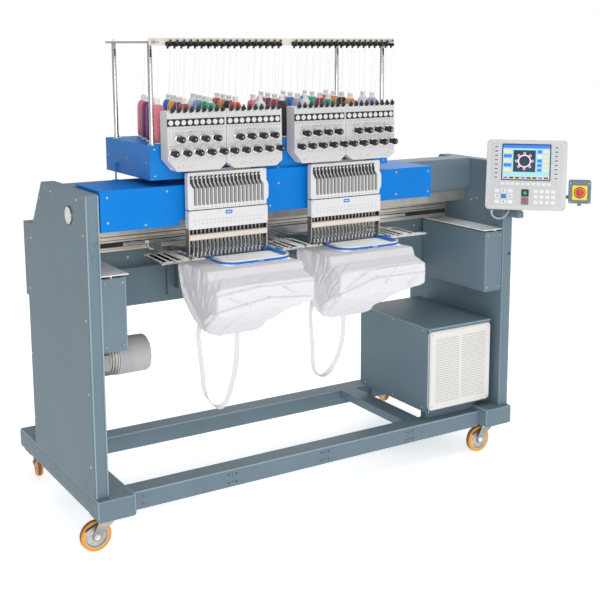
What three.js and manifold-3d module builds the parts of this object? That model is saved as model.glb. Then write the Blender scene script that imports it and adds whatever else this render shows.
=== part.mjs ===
// Two-head industrial embroidery machine on a castor frame: welded base, two end towers, an upper
// beam that carries the sewing heads, a lower bed with free arms, a pantograph that moves the hoops,
// a thread stand, a main drive, an electrical cabinet and a swivelling control panel.
// Units are millimetres, +Z is up, the operator stands at -Y, +X is the operator's right.
// While building, x = 0 is the outer side of the left foot and y = 0 the front of the feet; the
// finished group is moved so that its origin is the middle of its box, on the floor.

import * as THREE from 'three';
import { mergeVertices } from 'three/addons/utils/BufferGeometryUtils.js';
import Module from 'manifold-3d';

const wasm = await Module();
wasm.setup();

// ---------------------------------------------------------------- driving dimensions

const GAP = 0.3; // left between pieces that touch

const FOOT = { width: 154, depth: 966, bottom: 140, top: 225, round: 12, wall: 4 };
const FRAME_WIDTH = 2088; // over both feet
const CROSS_BEAM = { height: 78, depth: 96, bottom: 128, front: 60, rear: 686 };
const CABINET_RAIL = { left: 1555, width: 85 };

const TOWER = { thick: 55, front: 28, bottom: FOOT.top, top: 1400, sheet: 5, cover: 2.7 };
const TOWER_TOP_REAR = 512; // where the sloped shoulder starts
const TOWER_STEP = { y: 649, z: 1207 }; // foot of the sloped shoulder
const TOWER_REAR = { bulge: 770, low: 740, bulgeBottom: 889 };
const INNER_LEFT = TOWER.thick; // inner faces of the two towers
const INNER_RIGHT = FRAME_WIDTH - TOWER.thick;

const UPPER_BEAM = { front: 270, rear: 440, bottom: 1244, top: 1400, round: 34, wall: 8 };
const BED = { front: 515, rear: 700, bottom: 840, lip: 1004, step: 560, top: 1090, wall: 5 };

const HEAD_PITCH = 551;
const ARM_X = 594; // middle of the first sewing arm and of its active needle
const NEEDLES = 18;
const NEEDLE_PITCH = 17.2;
const ACTIVE_NEEDLE = 11; // the needle that stands over the arm
const CASE_X = ARM_X - (ACTIVE_NEEDLE - (NEEDLES + 1) / 2) * NEEDLE_PITCH; // middle of needle case
const NEEDLE_Y = 4;
const CASE = { width: 346, front: -18, rear: 22, bottom: 1242, top: 1460 };
const TENSION = { left: -258, right: 235, front: -30, rear: 32, bottom: 1470, corner: 1515, top: 1698 };
const KNOB = { radius: 14, length: 34, pitch: 51 };

const BED_ARM = { width: 76, front: -25, bottom: 1003, top: 1086, wall: 5 };
const HOOK = { radius: 26, length: 30, z: 1048 };

const SIDE_BOX = { width: 100, front: 34, rear: 508, bottom: 795, top: 1079, sheet: 3 };
const SHELF = { top: 1091, thick: 4, front: 34, rear: 508, overhang: 12 };

const COVER = { front: 30, rear: 300, bottom: 1255, flangeBottom: 1276, top: 1411, apron: 1450, sheet: 3 };

const THREAD_BOX = { left: 270, right: 1372, front: 46, rear: 489, bottom: 1434, top: 1567, sheet: 3 };
const RACK = { left: 287, right: 1350, front: 60, rear: 411, top: 1955, postRadius: 8 };
const RAIL = { bottom: 1938, top: 1966, y: 24, thick: 5 };

const MOTOR = { y: 300, z: 696, radius: 76, bodyEnd: 198, cowlEnd: 337 };
const SHAFT = { y: 190, z: 1307, radius: 12, knobRadius: 33 };

const CABINET = { left: 1630, right: 2000, front: 74, rear: 614, bottom: 250, top: 655, sheet: 3 };

const PANEL = { x: 2049, y: -98, z: 1356, width: 363, height: 323, depth: 42, azimuth: 45, tilt: 14 };
const PIVOT = { x: 2066, y: -34 }; // vertical swivel axis of the control panel

const BEAM_Y = { left: 90, right: 2000, front: 420, rear: 500, bottom: 1102, top: 1192 };
const SLOT = { bottom: 1121, top: 1138, depth: 26 };
const X_BAR = { left: 300, right: 1750 };
const HOOP = { x: 688, y: 78, width: 315, depth: 265, bottom: 1094, top: 1111, round: 68, ring: 13 };
const BAG = { left: 410, right: 856, front: -200, rear: 140, wall: 4 };

const WHEEL = { radius: 62, width: 34 };
const CASTOR = { inset: 57, front: 76, rear: 890, trail: 44, plate: 6 };

// ---------------------------------------------------------------- materials

const finish = (color, roughness, metalness) => new THREE.MeshStandardMaterial({ color, roughness, metalness });
const slate = finish('#75878f', 0.55, 0.1);
const lightGrey = finish('#d9d9d6', 0.5, 0.05);
const azure = finish('#0a78d6', 0.4, 0.05);
const white = finish('#ebebea', 0.45, 0.05);
const steel = finish('#b9b8b4', 0.35, 0.9);
const alloy = finish('#bdb6a9', 0.4, 0.8);
const zinc = finish('#a9a49a', 0.45, 0.85);
const cowlGrey = finish('#c6c4bf', 0.5, 0.1);
const black = finish('#1a1b1d', 0.5, 0.1);
const orange = finish('#ee8806', 0.5, 0.0);
const cotton = finish('#f1f0f4', 0.95, 0.0);
const red = finish('#cf2027', 0.45, 0.0);
const green = finish('#17b07c', 0.45, 0.0);

// ---------------------------------------------------------------- solids

function solid(geometry) {
  const bare = geometry.clone();
  bare.deleteAttribute('normal');
  bare.deleteAttribute('uv');
  const merged = mergeVertices(bare, 1e-4);
  const vertProperties = new Float32Array(merged.attributes.position.array);
  const triVerts = new Uint32Array(merged.index.array);
  return new wasm.Manifold(new wasm.Mesh({ numProp: 3, vertProperties, triVerts }));
}

function geometryOf(body) {
  const { numProp, vertProperties, triVerts } = body.getMesh();
  const geometry = new THREE.BufferGeometry();
  const positions = new Float32Array((vertProperties.length / numProp) * 3);
  for (let i = 0; i < positions.length / 3; i += 1) {
    for (let k = 0; k < 3; k += 1) positions[3 * i + k] = vertProperties[numProp * i + k];
  }
  geometry.setAttribute('position', new THREE.BufferAttribute(positions, 3));
  geometry.setIndex(new THREE.BufferAttribute(new Uint32Array(triVerts), 1));
  geometry.computeVertexNormals();
  return geometry;
}

const join = (...bodies) => bodies.flat().reduce((sum, body) => sum.add(body));
const cut = (body, ...tools) => tools.flat().reduce((rest, tool) => rest.subtract(tool), body);
const shift = (body, x, y, z) => body.translate([x, y, z]);

function block(x0, x1, y0, y1, z0, z1) {
  const geometry = new THREE.BoxGeometry(x1 - x0, y1 - y0, z1 - z0);
  geometry.translate((x0 + x1) / 2, (y0 + y1) / 2, (z0 + z1) / 2);
  return solid(geometry);
}

// A cylinder or cone that starts at a point and runs along +X, +Y or +Z.
function rod(axis, [x, y, z], length, radius, sides = 16, endRadius = radius) {
  const geometry = new THREE.CylinderGeometry(endRadius, radius, length, sides);
  geometry.translate(0, length / 2, 0);
  if (axis === 'x') geometry.rotateZ(-Math.PI / 2);
  if (axis === 'z') geometry.rotateX(Math.PI / 2);
  geometry.translate(x, y, z);
  return solid(geometry);
}

// An outline extruded along an axis: [y, z] points along X, [x, z] along Y, [x, y] along Z.
function prism(axis, outline, from, to, curveSegments = 4) {
  const shape = outline instanceof THREE.Shape ? outline : new THREE.Shape(outline.map(([a, b]) => new THREE.Vector2(a, b)));
  const geometry = new THREE.ExtrudeGeometry(shape, { depth: to - from, bevelEnabled: false, curveSegments });
  geometry.translate(0, 0, from);
  const turn = new THREE.Matrix4();
  if (axis === 'x') turn.set(0, 0, 1, 0, 1, 0, 0, 0, 0, 1, 0, 0, 0, 0, 0, 1);
  if (axis === 'y') {
    geometry.translate(0, 0, -from - to);
    turn.set(1, 0, 0, 0, 0, 0, -1, 0, 0, 1, 0, 0, 0, 0, 0, 1);
  }
  geometry.applyMatrix4(turn);
  return solid(geometry);
}

function roundedRect(a0, a1, b0, b1, r) {
  const shape = new THREE.Shape();
  shape.moveTo(a0 + r, b0);
  shape.lineTo(a1 - r, b0);
  shape.absarc(a1 - r, b0 + r, r, -Math.PI / 2, 0);
  shape.absarc(a1 - r, b1 - r, r, 0, Math.PI / 2);
  shape.absarc(a0 + r, b1 - r, r, Math.PI / 2, Math.PI);
  shape.absarc(a0 + r, b0 + r, r, Math.PI, 1.5 * Math.PI);
  return shape;
}

function tube(points, radius, sides, steps) {
  const curve = new THREE.CatmullRomCurve3(points.map((p) => new THREE.Vector3(...p)));
  const ring = new THREE.Shape();
  ring.absarc(0, 0, radius, 0, 2 * Math.PI);
  const options = { steps, extrudePath: curve, curveSegments: sides / 2, bevelEnabled: false };
  return solid(new THREE.ExtrudeGeometry(ring, options));
}

const machine = new THREE.Group();

function piece(name, body, material, parent = machine) {
  const mesh = new THREE.Mesh(geometryOf(body), material);
  mesh.name = name;
  parent.add(mesh);
  return mesh;
}

// ---------------------------------------------------------------- base frame

function foot(x0) {
  const { width, depth, bottom, top, round, wall } = FOOT;
  const outer = prism('y', roundedRect(x0, x0 + width, bottom, top, round), 0, depth);
  const inner = block(x0 + wall, x0 + width - wall, wall, depth + 1, bottom + wall, top - wall);
  return cut(outer, inner);
}

function crossBeam(y0) {
  const { height, depth, bottom } = CROSS_BEAM;
  const x0 = FOOT.width - 2;
  const x1 = FRAME_WIDTH - FOOT.width + 2;
  const outline = roundedRect(y0, y0 + depth, bottom, bottom + height, 8);
  const hollow = block(x0 - 1, x1 + 1, y0 + 4, y0 + depth - 4, bottom + 4, bottom + height - 4);
  return cut(prism('x', outline, x0, x1, 3), hollow);
}

// Four bolt holes in a square, through the front wall of the front beam.
function boltHoles(x) {
  const spots = [[-18, -18], [18, -18], [-18, 18], [18, 18]];
  const z = CROSS_BEAM.bottom + CROSS_BEAM.height / 2;
  return spots.map(([dx, dz]) => rod('y', [x + dx, CROSS_BEAM.front - 2, z + dz], 8, 4, 6));
}

function castorPlate(x, y) {
  const top = FOOT.bottom + 1;
  return block(x - 50, x + 50, y - 42, y + 42, FOOT.bottom - CASTOR.plate, top);
}

const CASTORS = [
  { name: 'front_left', x: CASTOR.inset, y: CASTOR.front, turn: 180 },
  { name: 'front_right', x: FRAME_WIDTH - FOOT.width + CASTOR.inset, y: CASTOR.front, turn: 180 },
  { name: 'rear_left', x: CASTOR.inset, y: CASTOR.rear, turn: 78 },
  { name: 'rear_right', x: FRAME_WIDTH - FOOT.width + CASTOR.inset, y: CASTOR.rear, turn: 78 },
];

function baseFrame() {
  const rightFoot = FRAME_WIDTH - FOOT.width;
  const { bottom, height, front, rear, depth } = CROSS_BEAM;
  const rail = CABINET_RAIL;
  const railBlock = block(rail.left, rail.left + rail.width, front + depth - 2, rear + 2, bottom + 40, bottom + height);
  const carriers = [CABINET.front + 40, CABINET.rear - 60].map((y) =>
    block(CABINET.left + 30, FRAME_WIDTH - FOOT.width + 2, y, y + 40, bottom + height - 20, FOOT.top + 12));
  const risers = [CABINET.left + 32, CABINET.right - 72].flatMap((x) => [CABINET.front + 40, CABINET.rear - 60].map(
    (y) => block(x, x + 40, y, y + 40, FOOT.top - 5, CABINET.bottom - GAP)));
  const frame = join(foot(0), foot(rightFoot), crossBeam(front), crossBeam(rear), railBlock, carriers, risers,
    CASTORS.map(({ x, y }) => castorPlate(x, y)));
  return cut(frame, [606, 1062, 1523].flatMap(boltHoles));
}

piece('base_frame', baseFrame(), slate);

// ---------------------------------------------------------------- towers

function towerOutline(inset) {
  const { front, bottom, top } = TOWER;
  const base = bottom + GAP;
  return [
    [front + inset, base + inset],
    [TOWER_REAR.low - inset, base + inset],
    [TOWER_REAR.low - inset, TOWER_REAR.bulgeBottom + inset],
    [TOWER_REAR.bulge - inset, TOWER_REAR.bulgeBottom + inset],
    [TOWER_REAR.bulge - inset, TOWER_STEP.z - inset],
    [TOWER_STEP.y - inset, TOWER_STEP.z - inset],
    [TOWER_TOP_REAR - inset, top - inset],
    [front + inset, top - inset],
  ];
}

// A tray-shaped side frame: the web is the inner plate, its flanges point outward.
function towerTray(outer, inner) {
  const [low, high] = outer < inner ? [outer, inner] : [inner, outer];
  const shell = prism('x', towerOutline(0), low, high);
  const web = TOWER.sheet;
  const [from, to] = outer < inner ? [low - 1, high - web] : [low + web, high + 1];
  return cut(shell, prism('x', towerOutline(web), from, to));
}

function frontColumn(x0, x1) {
  return block(x0, x1, TOWER.front + 1, TOWER.front + 42, TOWER.bottom + GAP, TOWER.top - 2);
}

const towerBolts = (x) => [[-14, 1210], [14, 1210], [0, 1162]].map(([dx, z]) =>
  rod('y', [x + dx, TOWER.front - 4, z], 6, 9, 12));

function leftTower() {
  const tray = towerTray(TOWER.cover + GAP, INNER_LEFT);
  const column = frontColumn(TOWER.cover + GAP, INNER_LEFT);
  const shaftHole = rod('x', [INNER_LEFT - 8, SHAFT.y, SHAFT.z], 12, SHAFT.radius + 3);
  const motorHole = rod('x', [INNER_LEFT - 8, MOTOR.y, MOTOR.z], 12, 20);
  return cut(join(tray, column, towerBolts(30)), shaftHole, motorHole);
}

function leftCover() {
  const cover = prism('x', towerOutline(0), 0, TOWER.cover);
  return cut(cover, rod('x', [-2, SHAFT.y, SHAFT.z], 8, SHAFT.knobRadius + 2, 24));
}

function rightTower() {
  const outer = FRAME_WIDTH;
  const tray = towerTray(outer, INNER_RIGHT);
  const column = frontColumn(INNER_RIGHT, outer);
  const hole = rod('y', [outer - 14, TOWER.front - 2, 967], 12, 8, 12);
  const holes = [[266, 1199], [223, 1212], [363, 1199]].map(([y, z]) =>
    rod('x', [INNER_RIGHT - 2, y, z], 10, 4, 8));
  const arm = block(PIVOT.x - 18, PIVOT.x + 18, PIVOT.y - 18, TOWER.front + 2, 1148, 1176);
  const pin = rod('z', [PIVOT.x, PIVOT.y, 1170], 60, 9, 12);
  return cut(join(tray, column, towerBolts(outer - 29), arm, pin), hole, holes);
}

piece('tower_left', leftTower(), slate);
piece('tower_left_cover', leftCover(), slate);
piece('tower_right', rightTower(), slate);

// ---------------------------------------------------------------- upper beam and bed

function upperBeam() {
  const { front, rear, bottom, top, round, wall } = UPPER_BEAM;
  const x0 = INNER_LEFT + GAP;
  const x1 = INNER_RIGHT - GAP;
  const outer = prism('x', roundedRect(front, rear, bottom, top, round), x0, x1, 5);
  const hollow = roundedRect(front + wall, rear - wall, bottom + wall, top - wall, round - wall);
  return cut(outer, prism('x', hollow, x0 - 1, x1 + 1, 5));
}

function bed() {
  const { front, rear, bottom, lip, step, top, wall } = BED;
  const x0 = INNER_LEFT + GAP;
  const x1 = INNER_RIGHT - GAP;
  const outline = [[front, bottom], [rear, bottom], [rear, top], [step, top], [step, lip], [front, lip]];
  const w = wall;
  const hollow = [[front + w, bottom + w], [rear - w, bottom + w], [rear - w, top - w],
    [step + w, top - w], [step + w, lip - w], [front + w, lip - w]];
  return cut(prism('x', outline, x0, x1), prism('x', hollow, x0 - 1, x1 + 1));
}

piece('upper_beam', upperBeam(), slate);
piece('bed', bed(), slate);

// ---------------------------------------------------------------- side boxes and shelves

function sideBox(x0, x1, openRight) {
  const { front, rear, bottom, top, sheet } = SIDE_BOX;
  const outer = block(x0, x1, front, rear, bottom, top);
  const [from, to] = openRight ? [x0 + sheet, x1 + 1] : [x0 - 1, x1 - sheet];
  return cut(outer, block(from, to, front + sheet, rear - sheet, bottom + sheet, top - sheet));
}

const boxLeft0 = INNER_LEFT + GAP;
const boxRight1 = INNER_RIGHT - GAP;
piece('side_box_left', sideBox(boxLeft0, boxLeft0 + SIDE_BOX.width, false), slate);
piece('side_box_right', sideBox(boxRight1 - SIDE_BOX.width, boxRight1, true), slate);

function shelf(x0, x1, lipX) {
  const { top, thick, front, rear } = SHELF;
  const plate = block(x0, x1, front, rear, top - thick, top);
  const lip = block(lipX, lipX + 3, front, rear, SIDE_BOX.top + GAP, top - thick + 0.5);
  return join(plate, lip);
}

const shelfWidth = SIDE_BOX.width + SHELF.overhang;
piece('side_shelf_left', shelf(boxLeft0, boxLeft0 + shelfWidth, boxLeft0 + 40), lightGrey);
piece('side_shelf_right', shelf(boxRight1 - shelfWidth, boxRight1, boxRight1 - 40), lightGrey);

// ---------------------------------------------------------------- sewing arms

const headX = (index) => ARM_X + index * HEAD_PITCH;
const caseX = (index) => CASE_X + index * HEAD_PITCH;

// Free arm of the bed: a hollow bar with an open nose where the rotary hook turns.
function bedArm(x) {
  const { width, front, bottom, top, wall } = BED_ARM;
  const x0 = x - width / 2;
  const x1 = x + width / 2;
  const rear = BED.front - GAP;
  const outline = roundedRect(x0, x1, bottom, top, 12);
  const bar = prism('y', outline, front, rear, 3);
  const throat = block(x0 + wall, x1 - wall, front - 1, 120, bottom + wall, top - wall);
  const foot = block(x0 - 22, x1 + 22, rear - 12, rear, BED.bottom + 30, BED.lip - 4);
  const neck = block(x0 + 10, x1 - 10, rear - 60, rear, BED.bottom + 60, bottom + 2);
  const needleHole = rod('z', [x, NEEDLE_Y, top - wall - 1], wall + 2, 3, 10);
  return join(cut(bar, throat, needleHole), foot, neck);
}

function rotaryHook(x) {
  const { radius, length, z } = HOOK;
  const basket = cut(rod('y', [x, NEEDLE_Y - 18, z], length, radius, 20), rod('y', [x, NEEDLE_Y - 19, z], 14, radius - 5, 20));
  return join(basket, rod('y', [x, NEEDLE_Y - 8, z], 118, 6, 12));
}

// Cast head arm: flange on the beam, deep body, and a rail block that guides the needle case.
function headArm(x) {
  const rear = UPPER_BEAM.front - GAP;
  const flange = block(x - 58, x + 58, rear - 14, rear, 1290, 1356);
  const side = [[60, 1262], [220, 1262], [rear - 6, 1292], [rear - 6, 1372], [190, 1424], [60, 1424]];
  const body = prism('x', side, x - 46, x + 46);
  const guide = block(x - 58, x + 58, CASE.rear + 1, 62, 1290, 1404);
  const driver = block(x - 16, x + 16, CASE.rear + 1, 62, 1250, 1296);
  const bore = rod('x', [x - 70, SHAFT.y, SHAFT.z], 140, SHAFT.radius + 3, 16);
  return cut(join(flange, body, guide, driver), bore);
}

for (const index of [0, 1]) {
  piece(`bed_arm_${index + 1}`, bedArm(headX(index)), slate);
  piece(`rotary_hook_${index + 1}`, rotaryHook(headX(index)), steel);
  piece(`head_arm_${index + 1}`, headArm(headX(index)), white);
}

// ---------------------------------------------------------------- covers over the drive shaft

// Sheet cover with a top, a front and closed ends, open below and behind.
function cover(x0, x1, steps) {
  const { front, rear, top, sheet } = COVER;
  const parts = steps.map(([from, to, bottom]) => {
    const shell = block(from, to, front, UPPER_BEAM.front - 2, bottom, top);
    const left = from === x0 ? from + sheet : from - 1;
    const right = to === x1 ? to - sheet : to + 1;
    return cut(shell, block(left, right, front + sheet, rear, bottom - 1, top - sheet));
  });
  const lid = block(x0, x1, UPPER_BEAM.front - 4, rear, top - sheet, top);
  const rest = block(x0 + 20, x1 - 20, rear - 20, rear - 4, UPPER_BEAM.top + GAP, top - 1);
  return join(parts, lid, rest);
}

// The middle cover's front rises in front of the thread box.
function apron(x0, x1) {
  return block(x0, x1, COVER.front, COVER.front + COVER.sheet, COVER.top - 5, COVER.apron);
}

// The drive shaft passes through the ends of the covers.
function shaftCut(body) {
  return cut(body, rod('x', [INNER_LEFT, SHAFT.y, SHAFT.z], 1300, SHAFT.radius + 4, 16));
}

const armHalf = 62;
const leftCoverSteps = [[61, 378, COVER.bottom], [378, ARM_X - armHalf, COVER.flangeBottom]];
const middle0 = ARM_X + armHalf;
const middle1 = ARM_X + HEAD_PITCH - armHalf;
const right0 = ARM_X + HEAD_PITCH + armHalf;
piece('cover_left', shaftCut(cover(61, ARM_X - armHalf, leftCoverSteps)), azure);
const middleCover = join(cover(middle0, middle1, [[middle0, middle1, COVER.flangeBottom]]), apron(middle0, middle1));
piece('cover_middle', shaftCut(middleCover), azure);
piece('cover_right', shaftCut(cover(right0, 1602, [[right0, 1602, COVER.flangeBottom]])), azure);

// ---------------------------------------------------------------- needle cases

const needleX = (index, needle) => caseX(index) + (needle - (NEEDLES + 1) / 2) * NEEDLE_PITCH;

// One take-up lever slot: it runs down, shifts sideways by one pitch, then runs down again.
function takeUpSlot(x) {
  const shape = [[-3, 1446], [3, 1446], [3, 1420], [20, 1398], [20, 1332], [14, 1332], [14, 1396], [-3, 1414]];
  return prism('y', shape.map(([dx, z]) => [x + dx, z]).reverse(), CASE.front - 1, CASE.front + 12);
}

function needleCase(index) {
  const x = caseX(index);
  const left = x - CASE.width / 2;
  const right = x + CASE.width / 2;
  const outline = [[left, CASE.bottom], [right, CASE.bottom], [right, 1325], [right + 8, 1340],
    [right + 8, 1404], [right - 2, 1420], [right - 4, CASE.top], [left, CASE.top]];
  const plate = prism('y', outline, CASE.front, CASE.rear - 12);
  const back = block(left + 6, right - 12, CASE.rear - 13, CASE.rear, CASE.bottom + 8, CASE.top - 8);
  const neck = block(x - 150, x + 120, CASE.rear - 16, CASE.rear, CASE.top - 20, TENSION.bottom - GAP);
  const slots = Array.from({ length: NEEDLES - 1 }, (_, i) => takeUpSlot(needleX(index, i + 1)));
  const activeShift = (ACTIVE_NEEDLE - (NEEDLES + 1) / 2) * NEEDLE_PITCH;
  const slotForActive = rod('z', [x + activeShift, NEEDLE_Y, CASE.bottom - 2], 130, 5, 8);
  return cut(join(plate, back, neck), slots, slotForActive);
}

// Needle bars, presser feet and the bar that ties them, under the case. The active place is empty.
function needleRow(index) {
  const x = caseX(index);
  const half = CASE.width / 2;
  const tie = rod('x', [x - half, NEEDLE_Y - 14, 1209], CASE.width, 11, 12);
  const back = block(x - half + 4, x + half - 4, NEEDLE_Y + 1, NEEDLE_Y + 12, 1200, 1216);
  const ends = [-1, 1].map((side) => block(x + side * (half - 5) - 4, x + side * (half - 5) + 4,
    NEEDLE_Y - 16, NEEDLE_Y + 12, 1200, CASE.bottom - GAP));
  const feet = [];
  for (let needle = 1; needle <= NEEDLES; needle += 1) {
    if (needle === ACTIVE_NEEDLE) continue;
    const nx = needleX(index, needle);
    feet.push(rod('z', [nx, NEEDLE_Y, 1150], CASE.bottom - 1150 - GAP, 3.2, 5));
    feet.push(rod('z', [nx, NEEDLE_Y, 1128], 24, 5.5, 5, 3.5));
  }
  const clearance = rod('z', [headX(index), NEEDLE_Y, 1120], 140, 5, 8);
  return cut(join(tie, back, ends, feet), clearance);
}

// The needle bar that sews: bar, clamp and needle.
function activeNeedle(index) {
  const x = headX(index);
  const bar = rod('z', [x, NEEDLE_Y, 1150], 190, 3.2, 8);
  const clamp = rod('z', [x, NEEDLE_Y, 1146], 14, 4.5, 8);
  const needle = rod('z', [x, NEEDLE_Y, 1127], 22, 0.7, 6, 1.2);
  return join(bar, clamp, needle);
}

// ---------------------------------------------------------------- thread tension units

function knob(x, z) {
  const disc = rod('y', [x, TENSION.front - 9, z], 10, KNOB.radius, 8);
  const grip = rod('y', [x, TENSION.front - KNOB.length, z], KNOB.length - 8, 8, 6);
  return [disc, grip];
}

function tensionUnit(index) {
  const x = caseX(index);
  const left = x + TENSION.left;
  const right = x + TENSION.right;
  const middle = (left + right) / 2;
  const { front, rear, bottom, corner, top } = TENSION;
  const outline = [[left, corner], [left + 62, bottom], [middle - 32, bottom], [middle, 1496],
    [middle + 32, bottom], [right - 36, bottom], [right, corner - 20], [right, top - 6], [left, top]];
  const plate = prism('y', outline, front, rear);
  const hollow = block(left + 4, right - 4, front + 5, rear + 1, corner, top - 10);
  const knobs = [left + 22, middle + 26].flatMap((start) => Array.from({ length: 9 }, (_, i) => {
    const upper = i >= 5;
    return knob(start + (upper ? i - 4.5 : i) * KNOB.pitch, upper ? 1592 : 1540);
  }));
  const strips = [left + 2, middle + 6].map((from) => {
    const guides = Array.from({ length: NEEDLES / 2 }, (_, i) =>
      block(from + 8 + i * 26, from + 20 + i * 26, front - 12, front + 6, top - 14, top + 12));
    return join(block(from + 4, from + 236, front - 4, front + 2, top - 14, top - 4), guides);
  });
  return join(cut(plate, hollow), knobs.flat(), strips);
}

for (const index of [0, 1]) {
  piece(`needle_case_${index + 1}`, needleCase(index), white);
  piece(`needle_row_${index + 1}`, needleRow(index), steel);
  piece(`active_needle_${index + 1}`, activeNeedle(index), steel);
  piece(`tension_unit_${index + 1}`, tensionUnit(index), white);
}

// ---------------------------------------------------------------- thread stand

const CONE_ROWS = 4;
const conePlaces = [];
for (const index of [0, 1]) {
  for (let i = 0; i < NEEDLES; i += 1) {
    const row = i % CONE_ROWS;
    const x = THREAD_BOX.left + 62 + index * HEAD_PITCH + i * 28;
    conePlaces.push([x, THREAD_BOX.front + 60 + row * 108]);
  }
}

function threadBox() {
  const { left, right, front, rear, bottom, top, sheet } = THREAD_BOX;
  const outer = block(left, right, front, rear, bottom, top);
  const inner = block(left + sheet, right - sheet, front + sheet, rear - sheet, bottom - 1, top - sheet);
  const pins = conePlaces.map(([x, y]) => rod('z', [x, y, top - 1], 60, 2.5, 4));
  const legs = [left + 130, right - 230].map((x) => {
    const post = block(x, x + 60, 330, 420, UPPER_BEAM.top + GAP, top - 1);
    return post;
  });
  const footPad = rod('z', [left - 6, 374, UPPER_BEAM.top + GAP], 4, 16, 12);
  const screw = rod('z', [left - 6, 374, UPPER_BEAM.top + 2], 74, 3.5, 8);
  const lug = block(left - 12, left + 2, 366, 382, 1462, 1468);
  return join(cut(outer, inner), pins, legs, footPad, screw, lug);
}

function threadRack() {
  const base = THREAD_BOX.top + GAP;
  const posts = [RACK.left, RACK.right].flatMap((x) => [RACK.front, RACK.rear].map((y) => join(
    rod('z', [x, y, base], RACK.top - base, RACK.postRadius, 10), rod('z', [x, y, base], 6, 12, 10))));
  const bars = [RACK.left, RACK.right].map((x) => rod('y', [x, -10, RACK.top - 6], 491, 5, 8));
  const rail = block(THREAD_BOX.left, THREAD_BOX.right + 13, RAIL.y, RAIL.y + RAIL.thick, RAIL.bottom, RAIL.top);
  return join(posts, bars, rail);
}

// Rows of black double guides that the threads run down through.
function threadGuides() {
  const front = RAIL.y - GAP;
  const starts = [345, 891];
  const pitch = 27.9;
  const guides = starts.flatMap((start) => Array.from({ length: NEEDLES }, (_, i) =>
    block(start + i * pitch - 8, start + i * pitch + 8, front - 16, front - 2, 1931, 1956)));
  const strip = block(starts[0] - 10, starts[1] + 17 * pitch + 10, front - 3, front, 1936, 1952);
  const bars = [RACK.left, RACK.right].map((x) => rod('y', [x, -20, RACK.top - 6], 60, 6, 8));
  return cut(join(strip, guides), bars);
}

piece('thread_box', threadBox(), azure);
piece('thread_rack', threadRack(), steel);
piece('thread_guides', threadGuides(), black);

// ---------------------------------------------------------------- main drive

function motor() {
  const x0 = INNER_LEFT + GAP;
  const { y, z, radius, bodyEnd } = MOTOR;
  const core = rod('x', [x0, y, z], bodyEnd - x0, radius - 10, 20);
  const fins = Array.from({ length: 7 }, (_, i) => rod('x', [x0 + 12 + i * 18, y, z], 6, radius - 3, 20));
  const mount = block(x0, bodyEnd + 10, y - 85, y + 85, SIDE_BOX.bottom - 12, SIDE_BOX.bottom - GAP);
  const web = block(x0 + 20, bodyEnd - 20, y - 40, y + 40, z + 40, SIDE_BOX.bottom - 11);
  const bore = rod('x', [x0 - 1, y, z], 40, 10, 12);
  return cut(join(core, fins, mount, web), bore);
}

function motorCowl() {
  const { y, z, radius, bodyEnd, cowlEnd } = MOTOR;
  const x0 = bodyEnd + GAP;
  const wall = 3;
  const dome = 26;
  const outer = [new THREE.Vector2(0, x0), new THREE.Vector2(radius, x0), new THREE.Vector2(radius, cowlEnd - dome)];
  for (let a = 30; a <= 90; a += 30) {
    const s = Math.sin(THREE.MathUtils.degToRad(a));
    const c = Math.cos(THREE.MathUtils.degToRad(a));
    outer.push(new THREE.Vector2(a === 90 ? 0 : radius - dome + dome * c, cowlEnd - dome + dome * s));
    if (a === 60) outer.push(new THREE.Vector2(radius - dome, cowlEnd));
  }
  const shell = new THREE.LatheGeometry(outer, 28);
  shell.rotateZ(-Math.PI / 2);
  shell.translate(0, y, z);
  const hollow = rod('x', [x0 - 1, y, z], cowlEnd - dome - x0, radius - wall, 28);
  return cut(solid(shell), hollow);
}

const PULLEY = { x: 14, width: 24, shaftRadius: 56, motorRadius: 28 };

function motorPulley() {
  const { x, width, motorRadius } = PULLEY;
  return join(rod('x', [x, MOTOR.y, MOTOR.z], width, motorRadius, 20), rod('x', [x, MOTOR.y, MOTOR.z], 70, 9, 12));
}

function mainShaft() {
  const { x, width, shaftRadius } = PULLEY;
  const end = ARM_X + HEAD_PITCH + 60;
  return join(
    rod('x', [x, SHAFT.y, SHAFT.z], width, shaftRadius, 24),
    rod('x', [0, SHAFT.y, SHAFT.z], end, SHAFT.radius, 12),
    rod('x', [-7, SHAFT.y, SHAFT.z], 12, SHAFT.knobRadius, 24),
  );
}

// The belt's outline wraps the outer side of both pulleys and runs straight between them.
function loopOutline(clearance) {
  const dy = MOTOR.y - SHAFT.y;
  const dz = MOTOR.z - SHAFT.z;
  const aim = Math.atan2(dz, dy);
  const spread = Math.acos((PULLEY.shaftRadius - PULLEY.motorRadius) / Math.hypot(dy, dz));
  const shape = new THREE.Shape();
  shape.absarc(SHAFT.y, SHAFT.z, PULLEY.shaftRadius + clearance, aim + spread, aim - spread + 2 * Math.PI);
  shape.absarc(MOTOR.y, MOTOR.z, PULLEY.motorRadius + clearance, aim - spread, aim + spread);
  return shape;
}

function driveBelt() {
  const { x, width } = PULLEY;
  const outer = prism('x', loopOutline(4.5), x + 2, x + width - 2, 14);
  return cut(outer, prism('x', loopOutline(1), x, x + width, 14));
}

piece('main_motor', motor(), alloy);
piece('motor_cowl', motorCowl(), cowlGrey);
piece('motor_pulley', motorPulley(), steel);
piece('drive_belt', driveBelt(), black);
piece('main_shaft', mainShaft(), steel);

// ---------------------------------------------------------------- electrical cabinet

function cabinet() {
  const { left, right, front, rear, bottom, top, sheet } = CABINET;
  const outer = block(left, right, front, rear, bottom, top);
  const inner = block(left + sheet, right - sheet, front - 1, rear - sheet, bottom + sheet, top - sheet);
  const lip = block(left, right, front - 16, front + 1, top - 4, top);
  const panel = block(left + 60, right - 60, rear - 60, rear - 1, bottom + 60, top - 70);
  return join(cut(outer, inner), lip, panel);
}

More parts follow.
